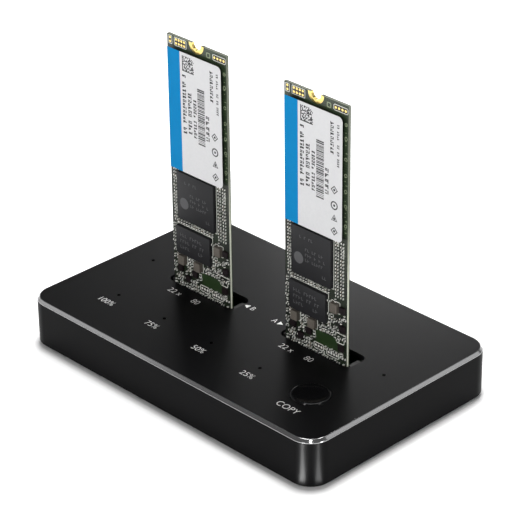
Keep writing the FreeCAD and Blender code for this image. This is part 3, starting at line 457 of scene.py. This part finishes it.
def make_copy_button():
    """A glossy cap: rounded rim, a narrow flat land, and a shallow dish inside it."""
    low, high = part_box("copy_button")
    centre = (low + high) / 2
    bottom = high.z - CAP_DEPTH
    cap = disc("copy_cap", (centre.x, centre.y, (bottom + high.z) / 2), CAP_RADIUS, CAP_DEPTH, 96)
    round_edges(cap, lambda edge: at_level(edge, 2, high.z), CAP_RIM, 5)
    choose(cap, "FACE", lambda face: face.normal.z > 0.99)
    # The land, then the dish in steps from its lip to its middle: (width, fall) in mm
    for width, fall in ((0.3, 0.0), (0.35, 0.07), (0.45, 0.07), (0.9, 0.1), (1.2, 0.05)):
        bpy.ops.mesh.inset(thickness=width * MM, depth=-fall * MM)
    bpy.ops.object.mode_set(mode="OBJECT")
    choose(cap, "FACE", lambda face: face.normal.z < -0.99)
    bpy.ops.mesh.inset(thickness=CAP_RADIUS - STEM_RADIUS)
    bpy.ops.mesh.extrude_region_move(TRANSFORM_OT_translate={"value": (0, 0, low.z - bottom)})
    bpy.ops.object.mode_set(mode="OBJECT")
    finish(cap, [button_gloss])
    smooth(cap, 40)
    mount(cap, "copy_key", "button_gloss", "copy_button")


def on_top(x, y):
    """A move from the origin to a point of the case's top given in mm."""
    return Matrix.Translation((x * MM, y * MM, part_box("top_shell")[1].z))


def print_words(name, words, x, y, size):
    """A line of pad printing on the case, of a size in mm and centred on a point given in mm."""
    clear_choice()
    bpy.ops.object.text_add()
    line = bpy.context.object
    line.data.body = words
    line.data.size = size * MM
    line.data.align_x = "CENTER"
    line.data.align_y = "CENTER"
    line.data.extrude = INK
    line.data.offset = -LETTER_THINNING
    bpy.ops.object.convert(target="MESH")
    line = settle(name)
    line.data.transform(on_top(x, y) @ Matrix.Diagonal((LETTER_WIDTH, 1, 1, 1)))
    finish(line, [case_ink])
    return line


def print_arrow(name, x, y, pointing):
    """A small solid arrowhead pointing along X, with softened corners."""
    clear_choice()
    bpy.ops.mesh.primitive_cylinder_add(vertices=3, radius=1.0 * MM, depth=2 * INK,
                                        rotation=(0, 0, -pointing * math.pi / 2))
    arrow = settle(name)
    arrow.data.transform(on_top(x, y))
    round_edges(arrow, lambda edge: along(edge, 2), 0.1 * MM, 2)
    finish(arrow, [case_ink])
    return arrow


def make_case_print():
    """The share copied by each progress light, COPY by the button, and each bay's letter and card size."""
    lines = [print_words(f"print_{words[:-1]}", words, x, -21.2, 2.9)
             for words, x in (("100%", -35.7), ("75%", -17.6), ("50%", 0.4), ("25%", 18.5))]
    lines.append(print_words("print_copy", "COPY", 36.9, -25.1, 3.0))
    for bay, x in (("a", 16.3), ("b", -26.2)):
        lines.append(print_words(f"print_width_{bay}", "22 x", x, -4.8, 2.9))
        lines.append(print_words(f"print_length_{bay}", "80", x + 8.0, -4.8, 2.9))
    for bay, letter_x, arrow_x, y, pointing in (("a", 4.2, 6.2, 3.0, 1), ("b", -4.5, -6.5, 3.4, -1)):
        lines.append(print_words(f"print_letter_{bay}", bay.upper(), letter_x, y, 2.6))
        lines.append(print_arrow(f"print_arrow_{bay}", arrow_x, y, pointing))
    printed = join("case_print", lines)
    mount(printed, "dock", "anodised_shell")


def make_feet():
    """Stick-on rubber discs with a rounded lower edge."""
    low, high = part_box("foot_front_left")
    centre = (low + high) / 2
    foot = disc("rubber_foot", centre, (high.x - low.x) / 2, high.z - low.z, 48)
    round_edges(foot, lambda edge: at_level(edge, 2, low.z), FOOT_ROUNDING, 3)
    finish(foot, [foot_rubber])
    smooth(foot, 40)
    for corner in ("front_left", "front_right", "back_left", "back_right"):
        step = centre_of(f"foot_{corner}") - centre
        mount(copy_of(foot, f"rubber_foot_{corner}", Matrix.Translation(step)), "dock", "foot_rubber",
              f"foot_{corner}")
    bpy.data.objects.remove(foot)


# ---- Drive cards: modelled once for bay A, then copied to bay B ----

card_low, card_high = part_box("drive_a_board")
CARD_X = (card_low.x + card_high.x) / 2
CARD_FRONT = card_low.y
CARD_BACK = card_high.y
CARD_TOP = card_high.z
chosen = random.Random(2280)


def spot(x, down, proud=0.0):
    """A point on the card: mm to the right of its middle line, below its top, and out from its front."""
    return Vector((CARD_X + x * MM, CARD_FRONT - proud * MM, CARD_TOP - down * MM))


def start_on_card(low, high):
    """Where a box starts, in mm: right of the card's middle line, below its top, and out from its front."""
    return (low.x - CARD_X) / MM, (CARD_TOP - high.z) / MM, (CARD_FRONT - low.y) / MM


def near_socket(face):
    """True for a face more than 60 mm below the card's top."""
    return face.center.z < CARD_TOP - 60 * MM


def places(spots, proud=0.0):
    """Matrices that carry a part modelled at the origin to spots (x, down, turned a quarter)."""
    return [Matrix.Translation(spot(x, down, proud)) @ Matrix.Rotation(math.pi / 2 * turned, 4, "Y")
            for x, down, turned in spots]


def make_laminate():
    """The card's bare board: a tongue between two shoulders, its key notches and the notch for its screw."""
    board = block("card_a_laminate", card_low, card_high)
    below = card_low.z - MM
    cutters = []
    for side in (-1, 1):
        inner, outer = sorted((side * TONGUE_HALF, side * 12 * MM))
        cutters.append(block("shoulder", (CARD_X + inner, -MM, below),
                             (CARD_X + outer, MM, card_low.z + TONGUE_DEPTH)))
    for key in (RIGHT_KEY, LEFT_KEY):
        notch = block("key_notch", (CARD_X + key - KEY_HALF, -MM, below),
                      (CARD_X + key + KEY_HALF, MM, card_low.z + KEY_DEPTH))
        round_edges(notch, lambda edge: along(edge, 1) and middle(edge).z > card_low.z, KEY_HALF - 0.02 * MM, 4)
        cutters.append(notch)
    cutters.append(disc("screw_notch", (CARD_X, 0, CARD_TOP), SCREW_NOTCH, 3 * MM, 48, "Y"))
    cut(board, cutters)
    finish(board, [solder_mask, laminate_edge], lambda face: abs(face.normal.y) < 0.5)
    return [(board, "card_board", ["board"])]


def make_end_ring():
    """The plated half ring: it laps the screw notch and both faces round it."""
    middle_y = (CARD_FRONT + CARD_BACK) / 2
    ring = disc("card_a_ring", (CARD_X, middle_y, CARD_TOP), RING_RADIUS, CARD_BACK - CARD_FRONT + 2 * RING_LAP,
                64, "Y")
    round_edges(ring, lambda edge: at_level(edge, 1, CARD_FRONT - RING_LAP)
                or at_level(edge, 1, CARD_BACK + RING_LAP), 0.03 * MM, 2)
    bore = disc("bore", (CARD_X, middle_y, CARD_TOP), RING_BORE, 3 * MM, 48, "Y")
    above = block("above", (CARD_X - 4 * MM, -2 * MM, CARD_TOP), (CARD_X + 4 * MM, 2 * MM, CARD_TOP + 4 * MM))
    cut(ring, [bore, above])
    finish(ring, [gold])
    smooth(ring)
    return [(ring, "gold_plating", ["ring"])]


def make_pads():
    """Round test pads and vias at the top end and, in two outlined groups, near the socket."""
    radius, proud, sunk = 0.36 * MM, 0.05 * MM, 0.01 * MM
    pad = disc("pad", (0, (sunk - proud) / 2, 0), radius, proud + sunk, 16, "Y")
    round_edges(pad, lambda edge: at_level(edge, 1, -proud), 0.02 * MM)
    spots = [(-9.85, 0.85, 0), (-9.85, 1.95, 0)]
    spots += [(-7.6 + 1.02 * column, 0.85 + 1.1 * row, 0) for column in range(4) for row in range(2)]
    spots += [(6.7 + 1.12 * column, 1.6, 0) for column in range(4)]
    spots += [(0.0 + 1.0 * column, 71.3, 0) for column in range(3)]
    spots += [(4.6 + 0.95 * column, 71.6, 0) for column in range(4)]
    pads = set_out(pad, "card_a_pads", places(spots))
    finish(pads, [gold, tin_painted_glint], near_socket)
    smooth(pads, 40)
    return [(pads, "gold_plating", [])]


def outline(x, down, width, height, line, corner):
    """A printed frame, in mm: a plane rounded at its corners, inset by the line's width, opened and made solid."""
    clear_choice()
    bpy.ops.mesh.primitive_plane_add(size=1, location=spot(x, down), rotation=(math.pi / 2, 0, 0))
    bpy.context.object.scale = (width * MM, height * MM, 1)
    frame_line = settle("outline")
    if corner:
        hold(frame_line)
        bpy.ops.object.mode_set(mode="EDIT")
        bpy.ops.mesh.select_all(action="SELECT")
        bpy.ops.mesh.bevel(offset=corner * MM, segments=4, affect="VERTICES")
        bpy.ops.object.mode_set(mode="OBJECT")
    choose(frame_line, "FACE", lambda face: True)
    bpy.ops.mesh.inset(thickness=line * MM)
    bpy.ops.mesh.delete(type="FACE")
    bpy.ops.object.mode_set(mode="OBJECT")
    modifier = frame_line.modifiers.new("ink", "SOLIDIFY")
    modifier.thickness = 2 * INK
    modifier.offset = 0.0
    bpy.ops.object.modifier_apply(modifier="ink")
    return frame_line


def ink_bars(name, bars, proud=0.0):
    """Printed bars (left, upper, width, height) in mm on the card, all from one chamfered block."""
    stamp = block("stamp", (0, -1, -1), (1, 0, 0))
    round_edges(stamp, lambda edge: at_level(edge, 1, -1), 0.02)
    return set_out(stamp, name, [
        Matrix.Translation(spot(left, upper, proud)) @ Matrix.Diagonal((width * MM, INK, height * MM, 1))
        for left, upper, width, height in bars])


def sign_column(left, width, upper, lower, step, weight):
    """Bars that read as a column of small turned print from a distance and spell nothing, with a few gaps."""
    bars, down = [], upper
    while down + step < lower:
        if chosen.random() > 0.12:
            body = step * 0.72
            bars.append((left + chosen.choice((0, width - weight)), down, weight, body))
            for level in chosen.sample((0.0, 0.5, 1.0), 2):
                bars.append((left, down + level * (body - weight), width * chosen.choice((0.6, 1.0)), weight))
        down += step
    return bars


def make_label():
    """The paper label with a blue band, a cell code, turned print, a bar code and plain signs."""
    low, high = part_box("drive_a_label")
    left, upper, proud = start_on_card(low, high)
    corner, band_width = 1.3 * MM, 4.7 * MM
    paper = block("card_a_label", low, high)
    round_edges(paper, lambda edge: along(edge, 1) and middle(edge).x > CARD_X, corner, 6)
    choose(paper, "FACE", lambda face: True)
    bpy.ops.mesh.bisect(plane_co=(low.x + band_width, 0, 0), plane_no=(1, 0, 0))
    bpy.ops.object.mode_set(mode="OBJECT")
    finish(paper, [label_white, label_blue], lambda face: face.center.x < low.x + band_width)

    cell, cells, bars = 0.31, 14, []
    for row in range(cells):
        for column in range(cells):
            if column == 0 or row == cells - 1 or chosen.random() < 0.5:
                bars.append((left + 5.6 + column * cell, upper + 0.8 + row * cell, cell, cell))
    # Columns of turned print: start and width across the label, first and last down it, step, weight
    for start, width, first, last, step, weight in (
            (5.5, 1.3, 6.2, 24.1, 1.0, 0.3), (7.5, 1.3, 9.7, 24.1, 1.0, 0.27), (9.5, 1.1, 12.2, 24.0, 0.85, 0.25),
            (14.1, 1.2, 15.3, 23.9, 1.5, 0.3), (15.9, 1.1, 2.0, 11.8, 1.0, 0.25), (18.2, 0.7, 2.2, 14.4, 0.62, 0.16)):
        bars += sign_column(left + start, width, upper + first, upper + last, step, weight)
    down, last = 8.5, 24.1
    while down < last:
        thick = chosen.choice((0.14, 0.14, 0.26, 0.38))
        bars.append((left + 11.1, upper + down, 2.6, thick))
        down += thick + chosen.choice((0.14, 0.2, 0.3))
    # Plain signs: a square, round or three-cornered ring with a dot in it, by its number of sides
    signs = []
    for down, sides in ((20.4, 4), (24.7, 32), (28.4, 3), (31.9, 4)):
        place = spot(left + 17.3, upper + down, proud)
        sign = disc("sign", place, 1.2 * MM, 2 * INK, sides, "Y")
        gap = disc("gap", place, 0.85 * MM, MM, sides, "Y")
        cut(gap, [disc("dot", place, 0.35 * MM, 2 * MM, 12, "Y")])
        cut(sign, [gap])
        signs.append(sign)
    printed = join("card_a_label_print", [ink_bars("bars", bars, proud)] + signs)
    finish(printed, [label_ink])
    return [(paper, "label_paper", ["label"]), (printed, "label_paper", [])]


def make_package(name, node, size, rows):
    """A moulded package with softened edges, and faint laser marks that spell nothing.

    Each row of marks, all of one size, is (left, down, right) in mm from the package's upper left corner."""
    low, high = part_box(node)
    body = block(name, low, high)
    round_edges(body, lambda edge: not at_level(edge, 1, high.y), PACKAGE_ROUNDING, 2)
    finish(body, [package_black])
    smooth(body, 40)
    left, upper, proud = start_on_card(low, high)
    weight, bars = size * 0.25, []
    for x, down, row_right in rows:
        while x < row_right:
            bars.append((left + x, upper + down, weight, size))
            bars.append((left + x, upper + down + chosen.choice((0, 0.4, 0.75)) * size, size * 0.7, weight))
            x += size * chosen.choice((1.0, 1.0, 2.0))
    marking = ink_bars(name + "_marking", bars, proud)
    finish(marking, [laser_grey])
    return body, marking


def make_packages():
    """The controller, with a round dimple by its marking, and the memory under it."""
    controller, its_marks = make_package("card_a_controller", "drive_a_controller", 0.8, [
        (3.0, 2.2, 8.0), (5.0, 5.4, 11.4), (5.0, 6.9, 11.4), (5.0, 8.4, 11.4), (11.0, 11.2, 12.6)])
    dot = disc("card_a_dimple", spot(-5.2, 47.2, 1.0), 1.65 * MM, 2 * INK, 40, "Y")
    round_edges(dot, lambda edge: at_level(edge, 1, CARD_FRONT - 1.0 * MM - INK), 0.015 * MM)
    finish(dot, [laser_grey])
    memory, more_marks = make_package("card_a_memory", "drive_a_memory", 0.95, [
        (1.6, 1.9, 10.6), (1.6, 3.7, 10.6), (1.6, 5.5, 6.0), (8.6, 5.5, 10.6)])
    marking = join("card_a_marking", [its_marks, more_marks, dot])
    return [(controller, "chip_black", ["controller"]), (memory, "chip_black", ["memory"]),
            (marking, "chip_black", [])]


def make_flash():
    """Two flash packages, mostly under the label."""
    low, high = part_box("drive_a_flash")
    length = 14.8 * MM
    first = block("flash", (low.x, low.y, high.z - length), high)
    round_edges(first, lambda edge: not at_level(edge, 1, high.y), PACKAGE_ROUNDING, 2)
    second = copy_of(first, "flash", Matrix.Translation((0, 0, low.z + length - high.z)))
    packages = join("card_a_flash", [first, second])
    finish(packages, [package_black])
    return [(packages, "chip_black", ["flash"])]


def standing_block(name, width, height, length):
    """A block at the origin, sizes in mm: width across the card, length up it, standing out from it by height."""
    return block(name, (-width / 2 * MM, -height * MM, -length / 2 * MM), (width / 2 * MM, 0, length / 2 * MM))


def end_capped(name, length, width, height, body, ends):
    """A surface-mount part at the origin, standing out from the card: a body sunk between two wrapped ends."""
    part = standing_block(name, length, height, width)
    cap, sunk = 0.26 * length, 0.06 * MM
    choose(part, "FACE", lambda face: True)
    for side in (-1, 1):
        bpy.ops.mesh.select_all(action="SELECT")
        bpy.ops.mesh.bisect(plane_co=(side * (length / 2 - cap) * MM, 0, 0), plane_no=(1, 0, 0))
    choose(part, "FACE", lambda face: face.normal.y < -0.5 and abs(face.calc_center_median().x) < length * 0.2 * MM)
    bpy.ops.transform.translate(value=(0, sunk, 0))
    bpy.ops.object.mode_set(mode="OBJECT")
    finish(part, [body, ends], lambda face: abs(face.center.x) > (length / 2 - cap) * MM)
    return part


# Where the small parts of a card stand, as (x, down, turned a quarter) in mm
COILS = [(-7.05, 64.98, 0), (-0.9, 64.98, 0), (7.0, 57.28, 0)]
POWER_CHIPS = [(-7.9, 67.83, 0), (-2.3, 67.83, 0), (-5.1, 70.33, 0),
               (9.65, 57.28, 0), (9.65, 62.68, 0), (9.2, 68.4, 0)]
# The green patch, and all the ground that small parts keep off, as (left, right, upper, lower) in mm: the
# controller, the memory, the patch, a clear corner by the memory, the two outlined groups of pads near
# the socket, and room round each coil and power chip
BARE_PATCH = (0.0, 7.6, 66.5, 70.3)
TAKEN = [(-8.5, 6.6, 36.5, 52.8), (-9.4, 4.8, 54.2, 63.5), BARE_PATCH, (4.9, 6.6, 53.0, 55.4),
         (-1.1, 3.1, 70.2, 72.4), (3.7, 8.4, 70.6, 72.7)]
TAKEN += [(x - 1.8, x + 1.8, down - 1.95, down + 1.95) for x, down, _ in COILS]
TAKEN += [(x - 1.3, x + 1.3, down - 1.3, down + 1.3) for x, down, _ in POWER_CHIPS]


def small_part_places():
    """Even rows beside and under the controller, and below them a loose crowd: a grid that is shaken a little
    and thinned, 20 parts across and 22 down, kept off the rows and off all that is taken."""
    columns = [(-9.3, 38.4 + 0.95 * step, 0) for step in range(17)]
    columns += [(x, 38.2 + 0.98 * step, 0) for x in (7.6, 9.4) for step in range(17)]
    columns += [(-8.3 + 1.0 * step, 53.5, 1) for step in range(14)]
    loose = []
    for row in range(22):
        for column in range(20):
            x = -10.1 + 1.07 * column + chosen.uniform(-0.15, 0.15)
            down = 53.4 + 0.95 * row + chosen.uniform(-0.1, 0.1)
            near = any(abs(x - a) < 0.95 and abs(down - b) < 0.9 for a, b, _ in columns)
            blocked = any(left < x < right and upper < down < lower for left, right, upper, lower in TAKEN)
            if not near and not blocked and chosen.random() < 0.74:
                loose.append((x, down, chosen.choice((0, 1))))
    everything = columns + loose
    chosen.shuffle(everything)
    return everything


def make_small_parts():
    """Coils, power chips, capacitors and resistors, with the white ticks printed beside every fifth part."""
    coil = standing_block("coil", 2.4, 1.2, 2.7)
    round_edges(coil, lambda edge: not at_level(edge, 1, 0), 0.15 * MM, 2)
    coils = set_out(coil, "card_a_coils", places(COILS))
    finish(coils, [inductor_brown])

    chip = standing_block("chip", 1.8, 0.7, 1.8)
    round_edges(chip, lambda edge: at_level(edge, 1, -0.7 * MM), 0.06 * MM, 1)
    chips = set_out(chip, "card_a_power_chips", places(POWER_CHIPS))
    finish(chips, [maroon_package])

    everything = small_part_places()
    fifth = len(everything) // 5
    kinds = (("tan", ceramic_tan, everything[:fifth]), ("grey", ceramic_grey, everything[fifth:2 * fifth]),
             ("black", resistor_black, everything[2 * fifth:]))
    parts = []
    for kind, body, spots in kinds:
        part = end_capped(kind, 0.9, 0.45, 0.35 if kind == "black" else 0.5, body, tin_painted_glint)
        parts.append(set_out(part, kind, places(spots)))
    capacitors = join("card_a_capacitors", parts)

    # A tick on either side of a part
    tick = block("tick", (-0.5 * MM, -INK, 0.3 * MM), (0.5 * MM, 0, 0.42 * MM))
    round_edges(tick, lambda edge: along(edge, 1), 0.03 * MM, 1)
    both = join("ticks", [tick, copy_of(tick, "tick", Matrix.Translation((0, 0, -0.76 * MM)))])
    ticks = set_out(both, "ticks", places(everything[::5]))
    return ([(coils, "inductor_brown", ["inductors"]), (chips, "chip_black", ["power_chips"]),
             (capacitors, "ceramic_tan", ["capacitors"])], ticks)


def make_silkscreen(ticks):
    """White frames round groups of parts, fainter marks down the right margin, and the grounds under the pads,
    painted darker as shade near the socket.
    """
    # Frames (x, down, width, height, line, corner), all in mm: three at the top end, two near the socket,
    # the controller's, the memory's and one at the lower right, then one round each coil
    frames = [(-9.85, 1.45, 1.5, 2.4, 0.16, 0.3), (-6.05, 1.45, 4.6, 2.4, 0.16, 0.3), (8.4, 1.6, 4.9, 1.7, 0.16, 0.5),
              (1.0, 71.3, 3.6, 1.9, 0.2, 0.5), (6.0, 71.6, 4.4, 1.9, 0.2, 0.5), (-0.95, 45.25, 14.6, 14.6, 0.14, 0),
              (-2.3, 58.9, 13.7, 9.0, 0.14, 0), (8.5, 66.0, 3.2, 3.0, 0.2, 0.6)]
    frames += [(x, down, 3.1, 3.4, 0.16, 0.2) for x, down, _ in COILS]
    white = join("card_a_silkscreen", [outline(*measures) for measures in frames] + [ticks])
    finish(white, [silkscreen])

    rings = [outline(10.2, down, 1.0, 1.0, 0.18, 0.45) for down in (5.2, 9.0, 14.6, 19.0, 23.4, 27.5, 33.0)]
    strokes = ink_bars("strokes", [(9.9 + chosen.uniform(-0.1, 0.3), 4.0 + 1.1 * step, chosen.choice((0.3, 0.6)), 0.2)
                                   for step in range(30) if chosen.random() < 0.75])
    faint = join("card_a_thin_print", rings + [strokes, outline(4.4, 1.7, 1.5, 1.5, 0.3, 0.4)])
    finish(faint, [faint_silkscreen])

    grounds = ink_bars("card_a_bare_mask", [(-10.45, 0.4, 1.2, 2.1), (-8.2, 0.4, 4.3, 2.1), (6.1, 0.9, 4.6, 1.4),
                                            (-0.6, 70.5, 3.2, 1.6), (4.0, 70.8, 4.0, 1.6)])
    # Near the socket the grounds take the painted shade
    finish(grounds, [bare_mask, painted_shade_mask], near_socket)
    left, right, upper, lower = BARE_PATCH
    pour = ink_bars("card_a_copper_pour", [(left, upper, right - left, lower - upper)])
    finish(pour, [copper_pour])
    return [(white, "card_board", []), (faint, "card_board", []), (grounds, "card_board", []),
            (pour, "card_board", [])]


def make_cards():
    """Card A's pieces, and a copy of each for card B."""
    made = make_laminate() + make_end_ring() + make_pads() + make_label() + make_packages() + make_flash()
    small, ticks = make_small_parts()
    made += small + make_silkscreen(ticks)
    step = Matrix.Translation(centre_of("drive_b_board") - centre_of("drive_a_board"))
    for piece, slot, nodes in made:
        twin = copy_of(piece, piece.name.replace("card_a", "card_b"), step)
        mount(piece, "drive_a", slot, *(f"drive_a_{node}" for node in nodes))
        mount(twin, "drive_b", slot, *(f"drive_b_{node}" for node in nodes))


# ---- Finishes of the pieces that keep their solid ----

KEPT = {
    "base_plate": base_finish, "base_screws": screw_steel, "main_board": board_green,
    "clone_processor": chip_epoxy, "bridge_chip": chip_epoxy, "crystal": can_metal, "capacitor_cans": can_metal,
    "power_coils": ferrite, "progress_light_pipes": guide_tip_hole_shade, "drive_light_pipes": guide_tip_hole_shade,
    "status_leds": led_body, "copy_switch_body": switch_plastic, "copy_switch_plunger": switch_plastic,
    "usb_port_shell": port_steel, "usb_port_tongue": switch_plastic, "power_jack_body": switch_plastic,
    "power_jack_pin": port_steel, "power_switch_body": switch_plastic, "power_button": power_black,
    "drive_socket_a": socket_plastic, "drive_socket_b": socket_plastic, "socket_contacts_a": gold,
    "socket_contacts_b": gold, "drive_a_contacts": gold, "drive_b_contacts": gold,
}


def finish_kept_nodes():
    """Gives each solid that stays in view its own finish."""
    for node, material in KEPT.items():
        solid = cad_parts[node]
        for place in solid.material_slots:
            place.material = material


# ---- Floor, light and camera ----

def make_floor():
    """White paper that takes a shadow. The camera sees it lifted by a glow from the case's edge outwards, so that a
    narrow band by the case keeps a painted contact shadow on top of the real one. Glossy surfaces see it lifted
    only further out, so that the case's sides mirror a dark foot, a painted reflection."""
    contact_shadow, mirrored_from, mirrored_to = 2.2 * MM, 36 * MM, 86 * MM
    clear_choice()
    bpy.ops.mesh.primitive_plane_add(size=6.0)
    floor = settle("floor")
    paper = new_material("white_studio_floor")
    matt = add(paper, "BsdfDiffuse", {"Color": linear("#f2f2f2")})
    ray = add(paper, "LightPath")
    place = add(paper, "VectorMath", {0: add(paper, "TexCoord").outputs["Object"]}, operation="ABSOLUTE")
    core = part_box("top_shell")[1] - Vector((CASE_CORNER, CASE_CORNER, 0))
    beyond = add(paper, "VectorMath", {0: place.outputs["Vector"], 1: core}, operation="SUBTRACT")
    outside = add(paper, "VectorMath", {0: beyond.outputs["Vector"], 1: (0, 0, 0)}, operation="MAXIMUM")
    reach = add(paper, "VectorMath", {0: outside.outputs["Vector"]}, operation="LENGTH").outputs["Value"]
    # Painted contact shadow: no glow at the case's edge, rising to full glow 2.2 mm out
    seen = add(paper, "MapRange", {"Value": reach, "From Min": CASE_CORNER, "From Max": CASE_CORNER + contact_shadow,
                                   "To Max": 0.6}).outputs["Result"]
    # Painted reflection: to glossy rays the floor stays dark close round the case
    mirrored = add(paper, "MapRange", {"Value": reach, "From Min": mirrored_from,
                                       "From Max": mirrored_to}).outputs["Result"]
    seen = add(paper, "Math", {0: ray.outputs["Is Camera Ray"], 1: seen}, operation="MULTIPLY")
    mirrored = add(paper, "Math", {0: ray.outputs["Is Glossy Ray"], 1: mirrored}, operation="MULTIPLY")
    lift = add(paper, "Math", {0: seen.outputs["Value"], 1: mirrored.outputs["Value"]}, operation="ADD")
    glow = add(paper, "Emission", {"Color": linear("#ffffff"), "Strength": lift.outputs["Value"]})
    both = add(paper, "AddShader", {0: matt.outputs["BSDF"], 1: glow.outputs["Emission"]})
    add(paper, "OutputMaterial", {"Surface": both.outputs["Shader"]})
    floor.data.materials.append(paper)


def make_world():
    """A dim even surround: the camera and clear surfaces see it white, and reflections see a white horizon."""
    world = bpy.data.worlds.new("studio")
    bpy.context.scene.world = world
    world.use_nodes = True
    world.node_tree.nodes.clear()
    ray = add(world, "LightPath")
    seen = add(world, "Math", {0: ray.outputs["Is Camera Ray"], 1: ray.outputs["Is Transmission Ray"]},
               operation="ADD")
    plain = add(world, "MapRange", {"Value": seen.outputs["Value"], "To Min": 0.14, "To Max": 1.0})
    heading = add(world, "SeparateXYZ", {"Vector": add(world, "TexCoord").outputs["Generated"]})
    low_down = add(world, "MapRange", {"Value": heading.outputs["Z"], "From Min": 0.3, "From Max": 0.12,
                                       "To Max": 0.8}).outputs["Result"]
    horizon = add(world, "Math", {0: low_down, 1: ray.outputs["Is Glossy Ray"]}, operation="MULTIPLY")
    strength = add(world, "Math", {0: plain.outputs["Result"], 1: horizon.outputs["Value"]}, operation="ADD")
    back = add(world, "Background", {"Color": linear("#ffffff"), "Strength": strength.outputs["Value"]})
    add(world, "OutputWorld", {"Surface": back.outputs["Background"]})


# The camera's heading from the front right corner, in degrees about Z
CAMERA_HEADING = -44.1
# Softboxes, in metres and watts: name, place, the height each aims at on the middle line, width, height, power
SOFTBOXES = (
    ("corner", (0.45, -0.42, 1.0), 0.03, 0.1, 0.1, 0.8),
    ("overhead", (-0.2, 0.35, 1.1), 0.03, 0.6, 0.6, 9.0),
    ("left_card", (-0.9, -0.42, 0.5), 0.04, 0.5, 0.5, 0.4),
    ("front", (0.26, -1.0, 0.25), 0.04, 0.15, 0.5, 6.0),
    ("right", (1.0, 0.06, 0.25), 0.03, 0.15, 0.5, 3.0),
    ("back_near", (-0.188, 0.269, 0.128), 0.014, 0.1, 0.04, 0.165),
    ("back_far", (-0.63, 0.591, 0.282), 0.014, 0.2, 0.1, 0.35),
    ("right_card", (0.55, 0.75, 0.55), 0.02, 0.5, 0.5, 0.42),
)


def add_lamp(name, width, height, watts):
    """An even rectangle of light, at the origin and facing down."""
    lamp = bpy.data.lights.new(name, "AREA")
    lamp.shape = "RECTANGLE"
    lamp.size, lamp.size_y = width, height
    lamp.energy = watts
    stand = bpy.data.objects.new(name, lamp)
    bpy.context.scene.collection.objects.link(stand)
    return stand


def level_step(degrees):
    """A level vector of length 1, heading that many degrees about Z."""
    return Vector((math.cos(math.radians(degrees)), math.sin(math.radians(degrees)), 0))


def add_corner_strip(angle, watts):
    """A narrow strip lying by the front corner. It shows only as one soft line down the corner's round, where
    the round faces along the angle, in degrees about Z."""
    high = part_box("top_shell")[1]
    heading = 2 * angle - CAMERA_HEADING
    touch = Vector((high.x - CASE_CORNER, CASE_CORNER - high.y, 0)) + CASE_CORNER * level_step(angle)
    strip = add_lamp("corner_strip", 34 * MM, 3.5 * MM, watts)
    strip.location = touch + level_step(heading) * 20 * MM + Vector((0, 0, 0.4 * MM))
    strip.rotation_euler = (math.pi, 0, math.radians(heading))
    strip.visible_camera = strip.visible_diffuse = False


def make_lights():
    """Softboxes round the case, each aimed at its middle line, and two strips by its front corner."""
    for name, place, aim_height, width, height, watts in SOFTBOXES:
        softbox = add_lamp(name, width, height, watts)
        softbox.location = place
        softbox.rotation_euler = (Vector((0, 0, aim_height)) - Vector(place)).to_track_quat("-Z", "Y").to_euler()
    add_corner_strip(-64, 0.02)
    add_corner_strip(-27, 0.01)


def make_camera():
    """A long lens from the front right, looking down on the case's top."""
    azimuth, elevation, roll = math.radians(45.76), math.radians(28.68), math.radians(-0.71)
    back = Vector((math.sin(azimuth) * math.cos(elevation), -math.cos(azimuth) * math.cos(elevation),
                   math.sin(elevation)))
    across = Vector((math.cos(azimuth), math.sin(azimuth), 0))
    upward = back.cross(across)
    turned = across * math.cos(roll) + upward * math.sin(roll)
    raised = upward * math.cos(roll) - across * math.sin(roll)
    view = bpy.data.cameras.new("camera")
    view.sensor_width = 36.0
    view.lens = 165.4
    view.clip_start, view.clip_end = 0.01, 20.0
    camera = bpy.data.objects.new("camera", view)
    place = Matrix((turned, raised, back)).transposed().to_4x4()
    place.translation = Vector((393.1, -380.9, 331.7)) * MM
    camera.matrix_world = place
    bpy.context.scene.collection.objects.link(camera)
    bpy.context.scene.camera = camera


make_camera()
make_case_shell()
make_copy_button()
make_case_print()
make_feet()
make_cards()
finish_kept_nodes()
make_floor()
make_world()
make_lights()
